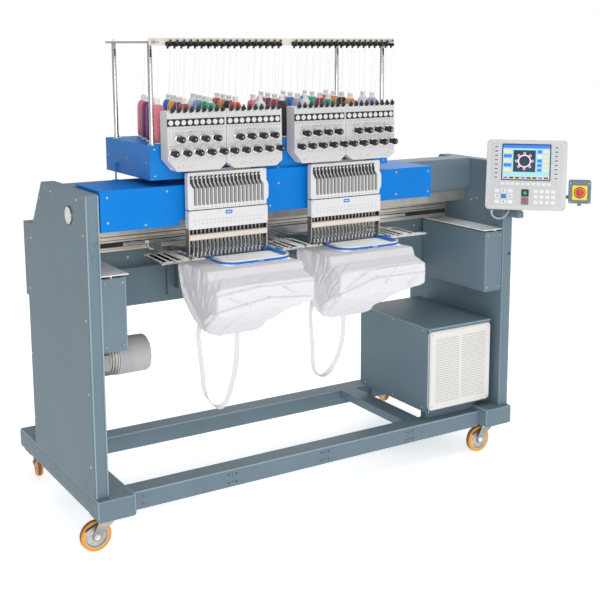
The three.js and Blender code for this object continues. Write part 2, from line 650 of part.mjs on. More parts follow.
function grille() {
  const { left, right, front, bottom, top } = CABINET;
  const outline = roundedRect(left + 3, right - 3, bottom + 12, top - 18, 16);
  const plate = prism('y', outline, front - 18, front - GAP, 4);
  const columns = [[left + 38, (left + right) / 2 - 6], [(left + right) / 2 + 6, right - 30]];
  const slots = columns.flatMap(([x0, x1]) => Array.from({ length: 12 }, (_, i) => {
    const z = bottom + 52 + i * 25;
    return block(x0, x1, front - 19, front - 12, z, z + 6);
  }));
  return cut(plate, slots);
}

piece('cabinet', cabinet(), slate);
piece('cabinet_grille', grille(), lightGrey);

// ---------------------------------------------------------------- control panel

// The panel group has its own axes: x to the right across the face, y into the machine, z up.
const swivel = new THREE.Group();
swivel.position.set(PIVOT.x, PIVOT.y, 0);
swivel.rotation.z = THREE.MathUtils.degToRad(-PANEL.azimuth);
machine.add(swivel);

const toSwivel = (x, y) => {
  const a = THREE.MathUtils.degToRad(PANEL.azimuth);
  const dx = x - PIVOT.x;
  const dy = y - PIVOT.y;
  return [dx * Math.cos(a) - dy * Math.sin(a), dx * Math.sin(a) + dy * Math.cos(a)];
};
const [faceX, faceY] = toSwivel(PANEL.x, PANEL.y);
const LUG = { y: 57, z: -50, half: 35 }; // tilt axis seen from the middle of the face
const tiltAngle = THREE.MathUtils.degToRad(PANEL.tilt);
const TILT_AXIS = {
  y: faceY + LUG.y * Math.cos(tiltAngle) + LUG.z * Math.sin(tiltAngle),
  z: PANEL.z - LUG.y * Math.sin(tiltAngle) + LUG.z * Math.cos(tiltAngle),
};
const SWITCH = { x: faceX + 241, y: faceY - 1, z: 1280, size: 100, depth: 78 };

function panelBracket() {
  const collar = cut(rod('z', [0, 0, 1176 + GAP], 64, 18, 16), rod('z', [0, 0, 1170], 100, 9.4, 12));
  const { y, z } = TILT_AXIS;
  const reach = LUG.half + GAP;
  const ears = [faceX - reach - 7, faceX + reach].map((x) => block(x, x + 7, y - 12, y + 12, 1242, z + 12));
  const yoke = block(Math.min(-12, faceX - reach - 7), faceX + reach + 7, y - 12, 14, 1238, 1258);
  const arm = block(faceX, SWITCH.x + 20, SWITCH.y + SWITCH.depth + GAP, 22, 1240, 1256);
  return join(collar, ears, yoke, arm, block(faceX, faceX + 50, 8, 22, 1240, 1256));
}

// The housing and its buttons: x across the face, y into the housing, z up, origin in mid face.
const panelFrame = new THREE.Group();
panelFrame.position.set(faceX, faceY, PANEL.z);
panelFrame.rotation.x = -tiltAngle;
swivel.add(panelFrame);

const BUTTON_RADIUS = 8;
const START = [-2, -84];
const STOP = [-2, -121];

function panelHousing() {
  const w = PANEL.width / 2;
  const h = PANEL.height / 2;
  const shell = prism('y', roundedRect(-w, w, -h, h, 14), 0, PANEL.depth, 4);
  const hollow = block(8 - w, w - 8, 5, PANEL.depth + 1, 8 - h, h - 8);
  const lug = block(-LUG.half, LUG.half, 4, LUG.y + 8, LUG.z - 9, LUG.z + 9);
  const holes = [START, STOP].map(([x, z]) => rod('y', [x, -1, z], 8, BUTTON_RADIUS + 1, 16));
  return cut(join(cut(shell, hollow), lug), holes);
}

function pushButton([x, z]) {
  return join(rod('y', [x, -4, z], 12, BUTTON_RADIUS, 16), rod('y', [x, 7, z], 3, BUTTON_RADIUS + 3, 16));
}

function switchBox() {
  const { x, y, z, size, depth } = SWITCH;
  const half = size / 2;
  const box = prism('y', roundedRect(x - half, x + half, z - half, z + half, 8), y, y + depth, 3);
  const plate = block(x - 31, x + 31, y - 2, y + 1, z - 31, z + 31);
  const gland = rod('z', [x, y + 30, z - half - 14], 16, 9, 10);
  const hole = rod('y', [x, y - 3, z], 14, 9, 14);
  return cut(join(box, plate, gland), hole);
}

function switchKnob() {
  const { x, y, z } = SWITCH;
  const grip = block(x - 6, x + 6, y - 24, y - 8, z - 19, z + 19);
  return join(grip, rod('y', [x, y - 10, z], 7, 19, 20), rod('y', [x, y - 4, z], 12, 7, 14));
}

function panelCable() {
  const yokeEnd = Math.min(-12, faceX - LUG.half - GAP - 7);
  const route = [[-118, -76, 1192.8], [-118, -76, 1180], [-110, -70, 1162], [-86, -58, 1150],
    [-60, -42, 1158], [-42, -26, 1184], [-34, -14, 1222], [-26, -7, 1245], [-19, -6, 1248], [yokeEnd - 0.8, -6, 1248]];
  return tube(route, 4, 8, 30);
}

piece('panel_bracket', panelBracket(), slate, swivel);
piece('switch_box', switchBox(), slate, swivel);
piece('switch_knob', switchKnob(), red, swivel);
piece('panel_cable', panelCable(), cowlGrey, swivel);
piece('panel_housing', panelHousing(), lightGrey, panelFrame);
piece('start_button', pushButton(START), green, panelFrame);
piece('stop_button', pushButton(STOP), red, panelFrame);

// ---------------------------------------------------------------- pantograph

function yBeam() {
  const { left, right, front, rear, bottom, top } = BEAM_Y;
  const outline = [[front, bottom], [rear, bottom], [rear, top], [front, top], [front, SLOT.top],
    [front + SLOT.depth, SLOT.top], [front + SLOT.depth, SLOT.bottom], [front, SLOT.bottom]];
  const hollow = block(left - 1, right + 1, front + SLOT.depth + 8, rear - 8, bottom + 8, top - 8);
  const shoes = [left + 12, right - 62].map((x) => block(x, x + 50, front + 4, rear - 4, SHELF.top + GAP, bottom + 1));
  return join(cut(prism('x', outline, left, right), hollow), shoes);
}

function xBar() {
  return block(X_BAR.left, X_BAR.right, BEAM_Y.front - 6, BEAM_Y.front + SLOT.depth - 1, SLOT.bottom + 1, SLOT.top - 1);
}

const hoopX = (index) => HOOP.x + index * HEAD_PITCH;

// A fork that holds one side of a hoop: clamp on the x bar, wide arm, and a comb of flat fingers.
function fork(left, right) {
  const z0 = HOOP.bottom + 6;
  const z1 = z0 + 6;
  const rear = BEAM_Y.front - 7;
  const armX = left + 118;
  const clamp = block(armX - 26, armX + 30, rear - 18, rear, HOOP.bottom + 4, SLOT.top + 2);
  const arm = prism('z', [[armX - 16, 60], [armX + 22, 60], [armX + 22, rear - 4], [armX - 16, rear - 4]], z0, z1);
  const cross = block(left, right, 62, 92, z0, z1);
  const back = block(left + 16, armX + 50, 268, 284, z0, z1);
  const fingers = [0, 30, 60, 150].map((dx) => prism('z',
    [[left + dx + 6, 80], [left + dx + 18, 80], [left + dx + 30, 276], [left + dx + 18, 276]], z0, z1));
  return join(clamp, arm, cross, back, fingers);
}

// The first holder is the left fork, the second spans from between the hoops to the right of both.
function hoopHolder(index) {
  const half = HOOP.width / 2;
  const left = hoopX(index) - half;
  if (index === 0) return fork(left - 216, left - GAP);
  const previous = hoopX(0) + half + GAP;
  const right = hoopX(1) + half + GAP;
  const rear = BEAM_Y.front - 7;
  const bar = block(previous + 120, right + 120, rear - 12, rear, HOOP.bottom + 8, SLOT.top);
  return join(fork(previous, left - GAP), fork(right, right + 208), bar);
}

function hoop(index) {
  const x = hoopX(index);
  const { y, width, depth, bottom, top, round, ring } = HOOP;
  const w = width / 2;
  const d = depth / 2;
  const outer = prism('z', roundedRect(x - w, x + w, y - d, y + d, round), bottom, top, 6);
  const window = prism('z', roundedRect(x - w + ring, x + w - ring, y - d + ring, y + d - ring, round - ring), bottom - 1, top + 1, 6);
  const clips = [-1, 1].map((side) => block(x + side * (w + 3) - 9, x + side * (w + 3) + 9, 60, 96, bottom + 12.5, top + 2));
  return join(cut(outer, window), clips);
}

// A closed skin through rings of points that all have the same number of corners.
function loft(rings) {
  const corners = rings[0].length;
  const index = [];
  for (let i = 0; i + 1 < rings.length; i += 1) {
    for (let k = 0; k < corners; k += 1) {
      const a = i * corners + k;
      const b = i * corners + ((k + 1) % corners);
      index.push(a, b, b + corners, a, b + corners, a + corners);
    }
  }
  const last = (rings.length - 1) * corners;
  for (let k = 1; k + 1 < corners; k += 1) index.push(0, k + 1, k, last, last + k, last + k + 1);
  const geometry = new THREE.BufferGeometry();
  geometry.setAttribute('position', new THREE.Float32BufferAttribute(rings.flat(2), 3));
  geometry.setIndex(index);
  return solid(geometry);
}

// Stations of the bag from front to rear: depth, side inset of the lower edge, low and high edges.
const BAG_STATIONS = [[-200, 0, 950, 1060], [-110, 2, 920, 1093.7], [-55, 6, 896, 1093.7],
  [50, 60, 826, 1093.7], [140, 136, 764, 1093.7]];

// The hooped bag: flat under the hoop, a slack box below it, open at the rear where the arm enters.
function bag(index) {
  const { left, right, wall } = BAG;
  const dx = index * HEAD_PITCH;
  const skin = (inset) => loft(BAG_STATIONS.map(([y, waist, low, high], i) => {
    const last = i === BAG_STATIONS.length - 1;
    const depth = y + (i === 0 ? inset : 0) + (last && inset ? 2 : 0);
    const a = left + dx + inset;
    const b = right + dx - inset;
    const sag = low + inset + (i === 0 ? 4 * Math.sign(inset) : 0);
    return [[a, depth, high - inset], [b, depth, high - inset], [b, depth, (low + high) / 2], [b - waist * 0.35, depth, sag],
      [a + waist, depth, sag], [a + waist * 0.2, depth, (low + high) / 2]];
  }));
  return cut(skin(0), skin(wall));
}

piece('y_beam', yBeam(), alloy);
piece('x_bar', xBar(), steel);
for (const index of [0, 1]) {
  piece(`hoop_holder_${index + 1}`, hoopHolder(index), steel);
  piece(`hoop_${index + 1}`, hoop(index), azure);
  piece(`bag_${index + 1}`, bag(index), cotton);
}

// ---------------------------------------------------------------- castors

// In its own axes the castor trails toward +X from the swivel axis.
function castorFork() {
  const top = FOOT.bottom - CASTOR.plate - GAP;
  const head = rod('z', [0, 0, top - 8], 8, 30, 16);
  const half = WHEEL.width / 2 + 3;
  const side = [[-26, top - 2], [30, top - 2], [CASTOR.trail + 16, WHEEL.radius - 4], [CASTOR.trail + 6, WHEEL.radius - 18],
    [CASTOR.trail - 12, WHEEL.radius - 12]];
  const cheeks = [-half - 3, half].map((y) => prism('y', side.slice().reverse(), y, y + 3));
  const crown = block(-26, 30, -half - 3, half + 3, top - 7.4, top - 2);
  const bolt = rod('y', [CASTOR.trail, -half - 9, WHEEL.radius], 2 * half + 18, 5, 10);
  return join(head, cheeks, crown, bolt);
}

function castorWheel() {
  const half = WHEEL.width / 2;
  const r = WHEEL.radius;
  const section = [[6, -half - 2], [15, -half - 2], [r - 13, -half + 5], [r - 3, -half + 1], [r, -half + 8],
    [r, half - 8], [r - 3, half - 1], [r - 13, half - 5], [15, half + 2], [6, half + 2]];
  const points = [...section, section[0]].map(([radius, y]) => new THREE.Vector2(radius, y));
  return shift(solid(new THREE.LatheGeometry(points, 26)), CASTOR.trail, 0, WHEEL.radius);
}

for (const { name, x, y, turn } of CASTORS) {
  const swivelGroup = new THREE.Group();
  swivelGroup.position.set(x, y, 0);
  swivelGroup.rotation.z = THREE.MathUtils.degToRad(turn);
  machine.add(swivelGroup);
  piece(`castor_fork_${name}`, castorFork(), zinc, swivelGroup);
  piece(`castor_wheel_${name}`, castorWheel(), orange, swivelGroup);
}

// ---------------------------------------------------------------- origin

machine.updateMatrixWorld(true);
const box = new THREE.Box3().setFromObject(machine, true);
machine.position.set(-(box.min.x + box.max.x) / 2, -(box.min.y + box.max.y) / 2, -box.min.z);
machine.updateMatrixWorld(true);

export default machine;
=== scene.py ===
"""The look of the embroidery machine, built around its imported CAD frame.

Lengths in this file are millimetres in the machine's own frame: x from the outer side of the left
foot, y from the front of the feet, z up from the floor. at() turns them into the scene's metres.
"""

import math

import bmesh
import bpy
from mathutils import Euler, Matrix, Vector


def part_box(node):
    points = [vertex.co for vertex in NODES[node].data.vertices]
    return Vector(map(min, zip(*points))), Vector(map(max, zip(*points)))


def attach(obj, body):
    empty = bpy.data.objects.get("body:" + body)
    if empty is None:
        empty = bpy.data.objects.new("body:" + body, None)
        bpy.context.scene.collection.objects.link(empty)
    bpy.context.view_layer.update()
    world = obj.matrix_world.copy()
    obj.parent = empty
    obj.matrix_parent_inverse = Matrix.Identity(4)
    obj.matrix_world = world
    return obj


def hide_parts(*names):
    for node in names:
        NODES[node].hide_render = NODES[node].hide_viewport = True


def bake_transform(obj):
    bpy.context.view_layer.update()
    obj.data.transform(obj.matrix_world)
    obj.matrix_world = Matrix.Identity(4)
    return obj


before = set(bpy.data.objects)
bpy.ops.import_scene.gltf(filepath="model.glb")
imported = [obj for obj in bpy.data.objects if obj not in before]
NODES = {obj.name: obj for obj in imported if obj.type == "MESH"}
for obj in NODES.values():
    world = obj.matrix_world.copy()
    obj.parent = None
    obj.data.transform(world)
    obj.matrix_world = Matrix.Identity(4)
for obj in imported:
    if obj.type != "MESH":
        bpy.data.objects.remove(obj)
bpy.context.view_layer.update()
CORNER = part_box("base_frame")[0]
PITCH = 551  # from one head to the next
HEADS = (0, 1)
NEEDLES = 18  # on each head
SEWING = 11  # the needle that stands over the hook
NEEDLE_PITCH = 17.2
ARM_X = 594  # the middle of the first head's arm
CASE_X = 568.2  # the middle of the first needle case
CASE_HALF = 173
PIN_BASE = 1567  # the top of the thread box
GUIDE_PITCH = 27.9
GUIDE_STARTS = (345, 891)  # the first rack guide of each head
HOOP_X, HOOP_Y = 688, 78
HOOK_Z = 1048
BAG_LEFT, BAG_MIDDLE, BAG_RIGHT = 414, 633, 852
FEET = (0, 1934)  # the left side of each foot
THIN_BEAD = 3.2


def at(x, y, z):
    """A point given in the machine's millimetres, in the scene's metres."""
    return Vector((CORNER.x + x / 1000, CORNER.y + y / 1000, z / 1000))


def machine(point):
    """A point of the scene in the machine's millimetres."""
    return (point - at(0, 0, 0)) * 1000


# ------------------------------------------------------------------ camera, light and floor


def studio():
    """The photograph's camera, a pale floor, an even white surround and four soft lamps."""
    scene = bpy.context.scene
    camera = bpy.data.objects.new("camera", bpy.data.cameras.new("camera"))
    scene.collection.objects.link(camera)
    camera.location = at(-1364, -3728, 1947)
    camera.rotation_euler = Euler((math.radians(90 - 9.7), 0, math.radians(-32.81)))
    camera.data.lens = 1082 * 36 / 600
    camera.data.shift_x = -0.047
    camera.data.shift_y = -0.12
    camera.data.clip_end = 100
    scene.camera = camera

    floor = Form()
    floor.box(-30000, 30000, -30000, 30000, -20, -0.5)
    ground = make("floor", floor, [plain("floor", (0.93, 0.93, 0.93), 0.6)])
    glow = ground.data.materials[0].node_tree.nodes["Principled BSDF"]
    glow.inputs["Emission Color"].default_value = (1, 1, 1, 1)
    glow.inputs["Emission Strength"].default_value = 0.55

    world = bpy.data.worlds.new("studio")
    world.use_nodes = True
    tree = world.node_tree
    backdrop = tree.nodes["Background"]
    backdrop.inputs[0].default_value = (1, 1, 1, 1)
    rays = tree.nodes.new("ShaderNodeLightPath")
    level = tree.nodes.new("ShaderNodeMapRange")
    level.inputs["To Min"].default_value = 0.5
    level.inputs["To Max"].default_value = 1.0
    tree.links.new(rays.outputs["Is Camera Ray"], level.inputs["Value"])
    tree.links.new(level.outputs["Result"], backdrop.inputs[1])
    scene.world = world
    lamp("key", (-700, -4200, 2100), (1000, 300, 900), 78, 2.2)
    lamp("fill", (4200, -3000, 2400), (1200, 300, 900), 14, 2.5)
    lamp("top", (1000, -500, 4800), (1000, 300, 900), 42, 3.0)
    lamp("back", (3500, 3800, 3000), (1000, 300, 900), 45, 3.0)
    scene.view_settings.view_transform = "Standard"


def lamp(name, place, target, power, size):
    """A square soft lamp that faces its target."""
    data = bpy.data.lights.new(name, "AREA")
    data.energy = power
    data.size = size
    light = bpy.data.objects.new(name, data)
    light.location = at(*place)
    light.rotation_euler = (at(*target) - light.location).to_track_quat("-Z", "Y").to_euler()
    bpy.context.scene.collection.objects.link(light)


# ------------------------------------------------------------------ materials


def shader(name, color, rough, metal=0.0, **constants):
    """A new material; returns it with its tree and its shader."""
    mat = bpy.data.materials.new(name)
    mat.use_nodes = True
    mat.diffuse_color = (*color, 1)
    tree = mat.node_tree
    bsdf = tree.nodes["Principled BSDF"]
    bsdf.inputs["Base Color"].default_value = (*color, 1)
    bsdf.inputs["Roughness"].default_value = rough
    bsdf.inputs["Metallic"].default_value = metal
    for key, value in constants.items():
        bsdf.inputs[key.replace("_", " ")].default_value = value
    return mat, tree, bsdf


def node(tree, kind, **settings):
    """A new shader node; each setting is one of its properties or of its inputs."""
    made = tree.nodes.new("ShaderNode" + kind)
    for key, value in settings.items():
        if hasattr(made, key):
            setattr(made, key, value)
        else:
            made.inputs[key.replace("_", " ")].default_value = value
    return made


def place(tree, scale=(1, 1, 1), turn=(0, 0, 0)):
    """Object coordinates, stretched or turned."""
    coords = node(tree, "TexCoord")
    mapping = node(tree, "Mapping")
    mapping.inputs["Scale"].default_value = scale
    mapping.inputs["Rotation"].default_value = turn
    tree.links.new(coords.outputs["Object"], mapping.inputs["Vector"])
    return mapping.outputs["Vector"]


def ramp(tree, source, low, high, a=0.3, b=0.7):
    """Turns a value into a colour between low and high."""
    made = node(tree, "ValToRGB")
    made.color_ramp.elements[0].position = a
    made.color_ramp.elements[1].position = b
    made.color_ramp.elements[0].color = (*low, 1)
    made.color_ramp.elements[1].color = (*high, 1)
    tree.links.new(source, made.inputs["Fac"])
    return made.outputs["Color"]


def remap(tree, source, low, high):
    """Turns a value from 0 to 1 into one from low to high."""
    made = node(tree, "MapRange")
    made.inputs["To Min"].default_value = low
    made.inputs["To Max"].default_value = high
    tree.links.new(source, made.inputs["Value"])
    return made.outputs["Result"]


def bump(tree, bsdf, height, strength, distance):
    """Tilts the shader's normal by a height."""
    made = node(tree, "Bump", Strength=strength, Distance=distance)
    tree.links.new(height, made.inputs["Height"])
    tree.links.new(made.outputs["Normal"], bsdf.inputs["Normal"])
    return made


def shade(color, factor):
    """The colour made lighter or darker."""
    return tuple(min(1.0, c * factor) for c in color)


def painted(name, color, rough=0.45, grain=900, strength=0.12, spread=0.06, **constants):
    """Paint or moulded plastic: fine orange peel, slow colour drift and uneven gloss."""
    mat, tree, bsdf = shader(name, color, rough, **constants)
    spot = place(tree)
    fine = node(tree, "TexNoise", Scale=grain, Detail=2.0)
    wide = node(tree, "TexNoise", Scale=5.0, Detail=5.0)
    dust = node(tree, "TexNoise", Scale=60.0, Detail=6.0)
    for made in (fine, wide, dust):
        tree.links.new(spot, made.inputs["Vector"])
    tint = ramp(tree, wide.outputs["Fac"], shade(color, 1 - spread), shade(color, 1 + spread))
    tree.links.new(tint, bsdf.inputs["Base Color"])
    gloss = remap(tree, dust.outputs["Fac"], rough - 0.07, rough + 0.09)
    tree.links.new(gloss, bsdf.inputs["Roughness"])
    bump(tree, bsdf, fine.outputs["Fac"], strength, 0.0004)
    return mat


def plain(name, color, rough):
    """A matt surface with a hardly visible drift of tone."""
    mat, tree, bsdf = shader(name, color, rough)
    drift = node(tree, "TexNoise", Scale=1.5, Detail=3.0)
    tree.links.new(place(tree), drift.inputs["Vector"])
    tint = ramp(tree, drift.outputs["Fac"], shade(color, 0.99), shade(color, 1.01))
    tree.links.new(tint, bsdf.inputs["Base Color"])
    return mat


def metal(name, color, rough, brush=(1, 1, 60), strength=0.15, spread=0.12):
    """Bright metal with brush marks along one axis and faint stains."""
    mat, tree, bsdf = shader(name, color, rough, 1.0)
    lines = node(tree, "TexNoise", Scale=30.0, Detail=4.0)
    tree.links.new(place(tree, brush), lines.inputs["Vector"])
    stain = node(tree, "TexNoise", Scale=14.0, Detail=6.0)
    tree.links.new(place(tree), stain.inputs["Vector"])
    tint = ramp(tree, stain.outputs["Fac"], shade(color, 1 - spread), shade(color, 1 + spread / 2))
    tree.links.new(tint, bsdf.inputs["Base Color"])
    gloss = remap(tree, lines.outputs["Fac"], rough - 0.08, rough + 0.12)
    tree.links.new(gloss, bsdf.inputs["Roughness"])
    bump(tree, bsdf, lines.outputs["Fac"], strength, 0.0003)
    return mat


def wound(name, color, sheen=0.3):
    """Embroidery thread wound on a cone: crossing fine bands with a silky gloss."""
    mat, tree, bsdf = shader(name, color, 0.38, Sheen_Weight=sheen)
    up = node(tree, "TexWave", bands_direction="Z", Scale=420.0, Distortion=1.5, Detail=1.0)
    cross = node(tree, "TexWave", bands_direction="DIAGONAL", Scale=160.0, Distortion=2.0, Detail=1.0)
    spot = place(tree)
    tree.links.new(spot, up.inputs["Vector"])
    tree.links.new(spot, cross.inputs["Vector"])
    both = node(tree, "Math", operation="ADD")
    tree.links.new(up.outputs["Fac"], both.inputs[0])
    tree.links.new(cross.outputs["Fac"], both.inputs[1])
    tint = ramp(tree, cross.outputs["Fac"], shade(color, 0.8), shade(color, 1.15), 0.1, 0.9)
    tree.links.new(tint, bsdf.inputs["Base Color"])
    bump(tree, bsdf, both.outputs["Value"], 0.5, 0.0004)
    return mat


def woven(name, color, glow=0.0):
    """Plain woven cotton with soft creases; glow is painted light, an emission that brightens the cloth where
    it lies in shade.
    """
    mat, tree, bsdf = shader(name, color, 0.88, Sheen_Weight=0.1, Sheen_Roughness=0.5,
                             Emission_Strength=glow)
    bsdf.inputs["Emission Color"].default_value = (1.0, 0.98, 0.95, 1)
    spot = place(tree)
    warp = node(tree, "TexWave", bands_direction="X", Scale=330.0, Distortion=0.6)
    weft = node(tree, "TexWave", bands_direction="Z", Scale=330.0, Distortion=0.6)
    slub = node(tree, "TexNoise", Scale=260.0, Detail=4.0)
    crease = node(tree, "TexNoise", Scale=11.0, Detail=3.0, Distortion=0.8)
    for made in (warp, weft, slub, crease):
        tree.links.new(spot, made.inputs["Vector"])
    cross = node(tree, "Math", operation="MULTIPLY")
    tree.links.new(warp.outputs["Fac"], cross.inputs[0])
    tree.links.new(weft.outputs["Fac"], cross.inputs[1])
    total = node(tree, "Math", operation="ADD")
    tree.links.new(cross.outputs["Value"], total.inputs[0])
    tree.links.new(slub.outputs["Fac"], total.inputs[1])
    weave = node(tree, "Bump", Strength=0.35, Distance=0.0005)
    tree.links.new(total.outputs["Value"], weave.inputs["Height"])
    folds = node(tree, "Bump", Strength=0.35, Distance=0.006)
    tree.links.new(crease.outputs["Fac"], folds.inputs["Height"])
    tree.links.new(weave.outputs["Normal"], folds.inputs["Normal"])
    tree.links.new(folds.outputs["Normal"], bsdf.inputs["Normal"])
    tint = ramp(tree, slub.outputs["Fac"], shade(color, 0.95), shade(color, 1.03))
    tree.links.new(tint, bsdf.inputs["Base Color"])
    return mat


# ------------------------------------------------------------------ mesh code


# Where a point of an outline, (u, v) at height w, lies for each axis of a form.
AXES = {"x": lambda u, v, w: (w, u, v), "y": lambda u, v, w: (u, w, v), "z": lambda u, v, w: (u, v, w)}
FACET = 38  # degrees: edges that turn more than this are rounded


class Form:
    """Solid shapes collected into one mesh, in millimetres, each with its own material slot."""

    def __init__(self, matrix=None):
        self.verts = []
        self.faces = []
        self.slots = []
        self.matrix = matrix

    def add(self, verts, faces, slot=0):
        base = len(self.verts)
        self.verts += [tuple(v) for v in verts]
        self.faces += [tuple(base + i for i in face) for face in faces]
        self.slots += [slot] * len(faces)

    def box(self, x0, x1, y0, y1, z0, z1, slot=0):
        self.prism("z", [(x0, y0), (x1, y0), (x1, y1), (x0, y1)], z0, z1, slot)

    def prism(self, axis, outline, a, b, slot=0):
        """An outline of (y, z) along x, (x, z) along y or (x, y) along z."""
        turn = AXES[axis]
        count = len(outline)
        verts = [turn(u, v, w) for w in (a, b) for u, v in outline]
        faces = [tuple(range(count)), tuple(range(2 * count - 1, count - 1, -1))]
        for i in range(count):
            j = (i + 1) % count
            faces.append((i, j, j + count, i + count))
        self.add(verts, faces, slot)

    def lathe(self, axis, centre, profile, slot=0, steps=24):
        """A closed profile of (radius, height) turned about an axis."""
        turn = AXES[axis]
        rings = []
        verts = []
        for radius, height in profile:
            if radius == 0:
                rings.append([len(verts)] * steps)
                verts.append(turn(0, 0, height))
                continue
            rings.append(list(range(len(verts), len(verts) + steps)))
            for k in range(steps):
                angle = 2 * math.pi * k / steps
                verts.append(turn(radius * math.cos(angle), radius * math.sin(angle), height))
        faces = []
        for low, high in zip(rings, rings[1:]):
            for k in range(steps):
                n = (k + 1) % steps
                face = [low[k], low[n], high[n], high[k]]
                face = [v for i, v in enumerate(face) if v not in face[:i]]
                if len(face) > 2:
                    faces.append(tuple(face))
        if profile[0] == profile[-1]:
            last, first = rings[-1], rings[0]
            merge = dict(zip(last, first))
            faces = [tuple(merge.get(v, v) for v in face) for face in faces]
        self.add([Vector(v) + Vector(centre) for v in verts], faces, slot)

    def rod(self, axis, start, length, radius, slot=0, steps=16, end=None):
        """A round bar along an axis, or a tapered one where end gives its last radius."""
        end = radius if end is None else end
        self.lathe(axis, start, [(0, 0), (radius, 0), (end, length), (0, length)], slot, steps)

    def ring(self, axis, centre, inner, outer, low, high, slot=0, steps=24):
        profile = [(inner, low), (outer, low), (outer, high), (inner, high), (inner, low)]
        self.lathe(axis, centre, profile, slot, steps)

    def tube(self, points, radius, slot=0, sides=8):
        """A round bar along a line of points."""
        path = [Vector(p) for p in points]
        across = None
        verts = []
        for i, p in enumerate(path):
            ahead = (path[min(i + 1, len(path) - 1)] - path[max(i - 1, 0)]).normalized()
            if across is None:
                across = ahead.orthogonal().normalized()
            across = (across - ahead * across.dot(ahead)).normalized()
            side = ahead.cross(across)
            for k in range(sides):
                angle = 2 * math.pi * k / sides
                verts.append(p + (across * math.cos(angle) + side * math.sin(angle)) * radius)
        faces = [tuple(range(sides)), tuple(range(len(verts) - 1, len(verts) - 1 - sides, -1))]
        for i in range(len(path) - 1):
            for k in range(sides):
                n = (k + 1) % sides
                faces.append((i * sides + k, i * sides + n, (i + 1) * sides + n, (i + 1) * sides + k))
        self.add(verts, faces, slot)


def rounded(a0, a1, b0, b1, r, steps=5):
    """The outline of a rounded rectangle."""
    points = []
    for ca, cb, start in ((a1 - r, b0 + r, -90), (a1 - r, b1 - r, 0), (a0 + r, b1 - r, 90),
                          (a0 + r, b0 + r, 180)):
        for k in range(steps + 1):
            angle = math.radians(start + 90 * k / steps)
            points.append((ca + r * math.cos(angle), cb + r * math.sin(angle)))
    return points


def finished(name, mesh, shell, sharp, bevel):
    """Links a mesh as an object, shaded smooth up to an angle and with small round edges."""
    bmesh.ops.recalc_face_normals(shell, faces=shell.faces)
    shell.to_mesh(mesh)
    shell.free()
    mesh.polygons.foreach_set("use_smooth", [True] * len(mesh.polygons))
    mesh.set_sharp_from_angle(angle=math.radians(sharp))
    made = bpy.data.objects.new(name, mesh)
    bpy.context.scene.collection.objects.link(made)
    if bevel:
        edge = made.modifiers.new("edges", "BEVEL")
        edge.width = bevel / 1000
        edge.segments = 2
        edge.limit_method = "ANGLE"
        edge.angle_limit = math.radians(FACET)
        edge.harden_normals = True
    return made


def make(name, form, materials, body=None, bevel=0, replaces=(), sharp=35):
    """Puts a form into the scene as one piece, with its body and the CAD nodes that it replaces."""
    mesh = bpy.data.meshes.new(name)
    turn = form.matrix or Matrix()
    mesh.from_pydata([at(*(turn @ Vector(v))) for v in form.verts], [], form.faces)
    for mat in materials:
        mesh.materials.append(mat)
    mesh.polygons.foreach_set("material_index", form.slots)
    shell = bmesh.new()
    shell.from_mesh(mesh)
    made = finished(name, mesh, shell, sharp, bevel)
    if body:
        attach(made, body)
    if replaces:
        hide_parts(*replaces)
    return made


# ------------------------------------------------------------------ finishes

SLATE = painted("slate_paint", (0.138, 0.200, 0.240), 0.5, spread=0.05, Specular_IOR_Level=0.35)
# A paler copy of the slate paint for the edge strips: a painted highlight.
SLATE_HIGHLIGHT = painted("slate_painted_highlight", (0.27, 0.36, 0.41), 0.4, spread=0.05)
SHELF = painted("shelf_paint", (0.88, 0.87, 0.86), 0.42)
AZURE = painted("azure_paint", (0.002, 0.185, 0.60), 0.46, spread=0.05, Specular_IOR_Level=0.12)
AZURE_TOP = painted("azure_box_paint", (0.004, 0.19, 0.58), 0.44, spread=0.06, Specular_IOR_Level=0.2)
WHITE = painted("white_casing", (0.66, 0.66, 0.67), 0.38, spread=0.02)
CASING = painted("tension_casing", (0.58, 0.575, 0.575), 0.4, spread=0.03)
AMBER_DOT = painted("amber_dot", (0.55, 0.22, 0.08), 0.4, spread=0.05)
SHADE = painted("grey_casing", (0.36, 0.36, 0.36), 0.45, spread=0.03)
# Mid grey for slot openings: painted shade inside them.
SLOT_SHADE = painted("slot_painted_shade", (0.27, 0.27, 0.26), 0.5, spread=0.05)
CREAM = painted("cream_bar", (0.66, 0.61, 0.54), 0.35, spread=0.03)
GREY = painted("grey_moulding", (0.44, 0.44, 0.44), 0.45, spread=0.03)
PANEL = painted("panel_moulding", (0.60, 0.60, 0.60), 0.42, spread=0.03)
BLACK = painted("black_moulding", (0.012, 0.012, 0.014), 0.35, spread=0.2)
# Near black, for the levers and printed marks, and as painted shade in gaps, slots, grooves and openings.
DARK = painted("dark_gap", (0.02, 0.02, 0.022), 0.7, spread=0.2)
RED = painted("red_moulding", (0.62, 0.02, 0.03), 0.3, spread=0.05)
GREEN = painted("green_moulding", (0.01, 0.45, 0.28), 0.3, spread=0.05)
YELLOW = painted("yellow_plate", (0.85, 0.62, 0.02), 0.4, spread=0.04)
ORANGE = painted("orange_tread", (0.85, 0.32, 0.01), 0.5, grain=300, strength=0.2, spread=0.08)
HOOP_BLUE = painted("hoop_blue", (0.002, 0.17, 0.68), 0.3, spread=0.05)
IVORY = painted("ivory_ring", (0.86, 0.84, 0.80), 0.4, spread=0.03)
STEEL = metal("bright_steel", (0.66, 0.65, 0.62), 0.24, (1, 1, 30))
# Steel darkened as painted shade for the needles under the head.
SHADED_NEEDLE_STEEL = metal("needle_steel_painted_shade", (0.40, 0.37, 0.34), 0.3, (1, 1, 20), 0.05, 0.1)
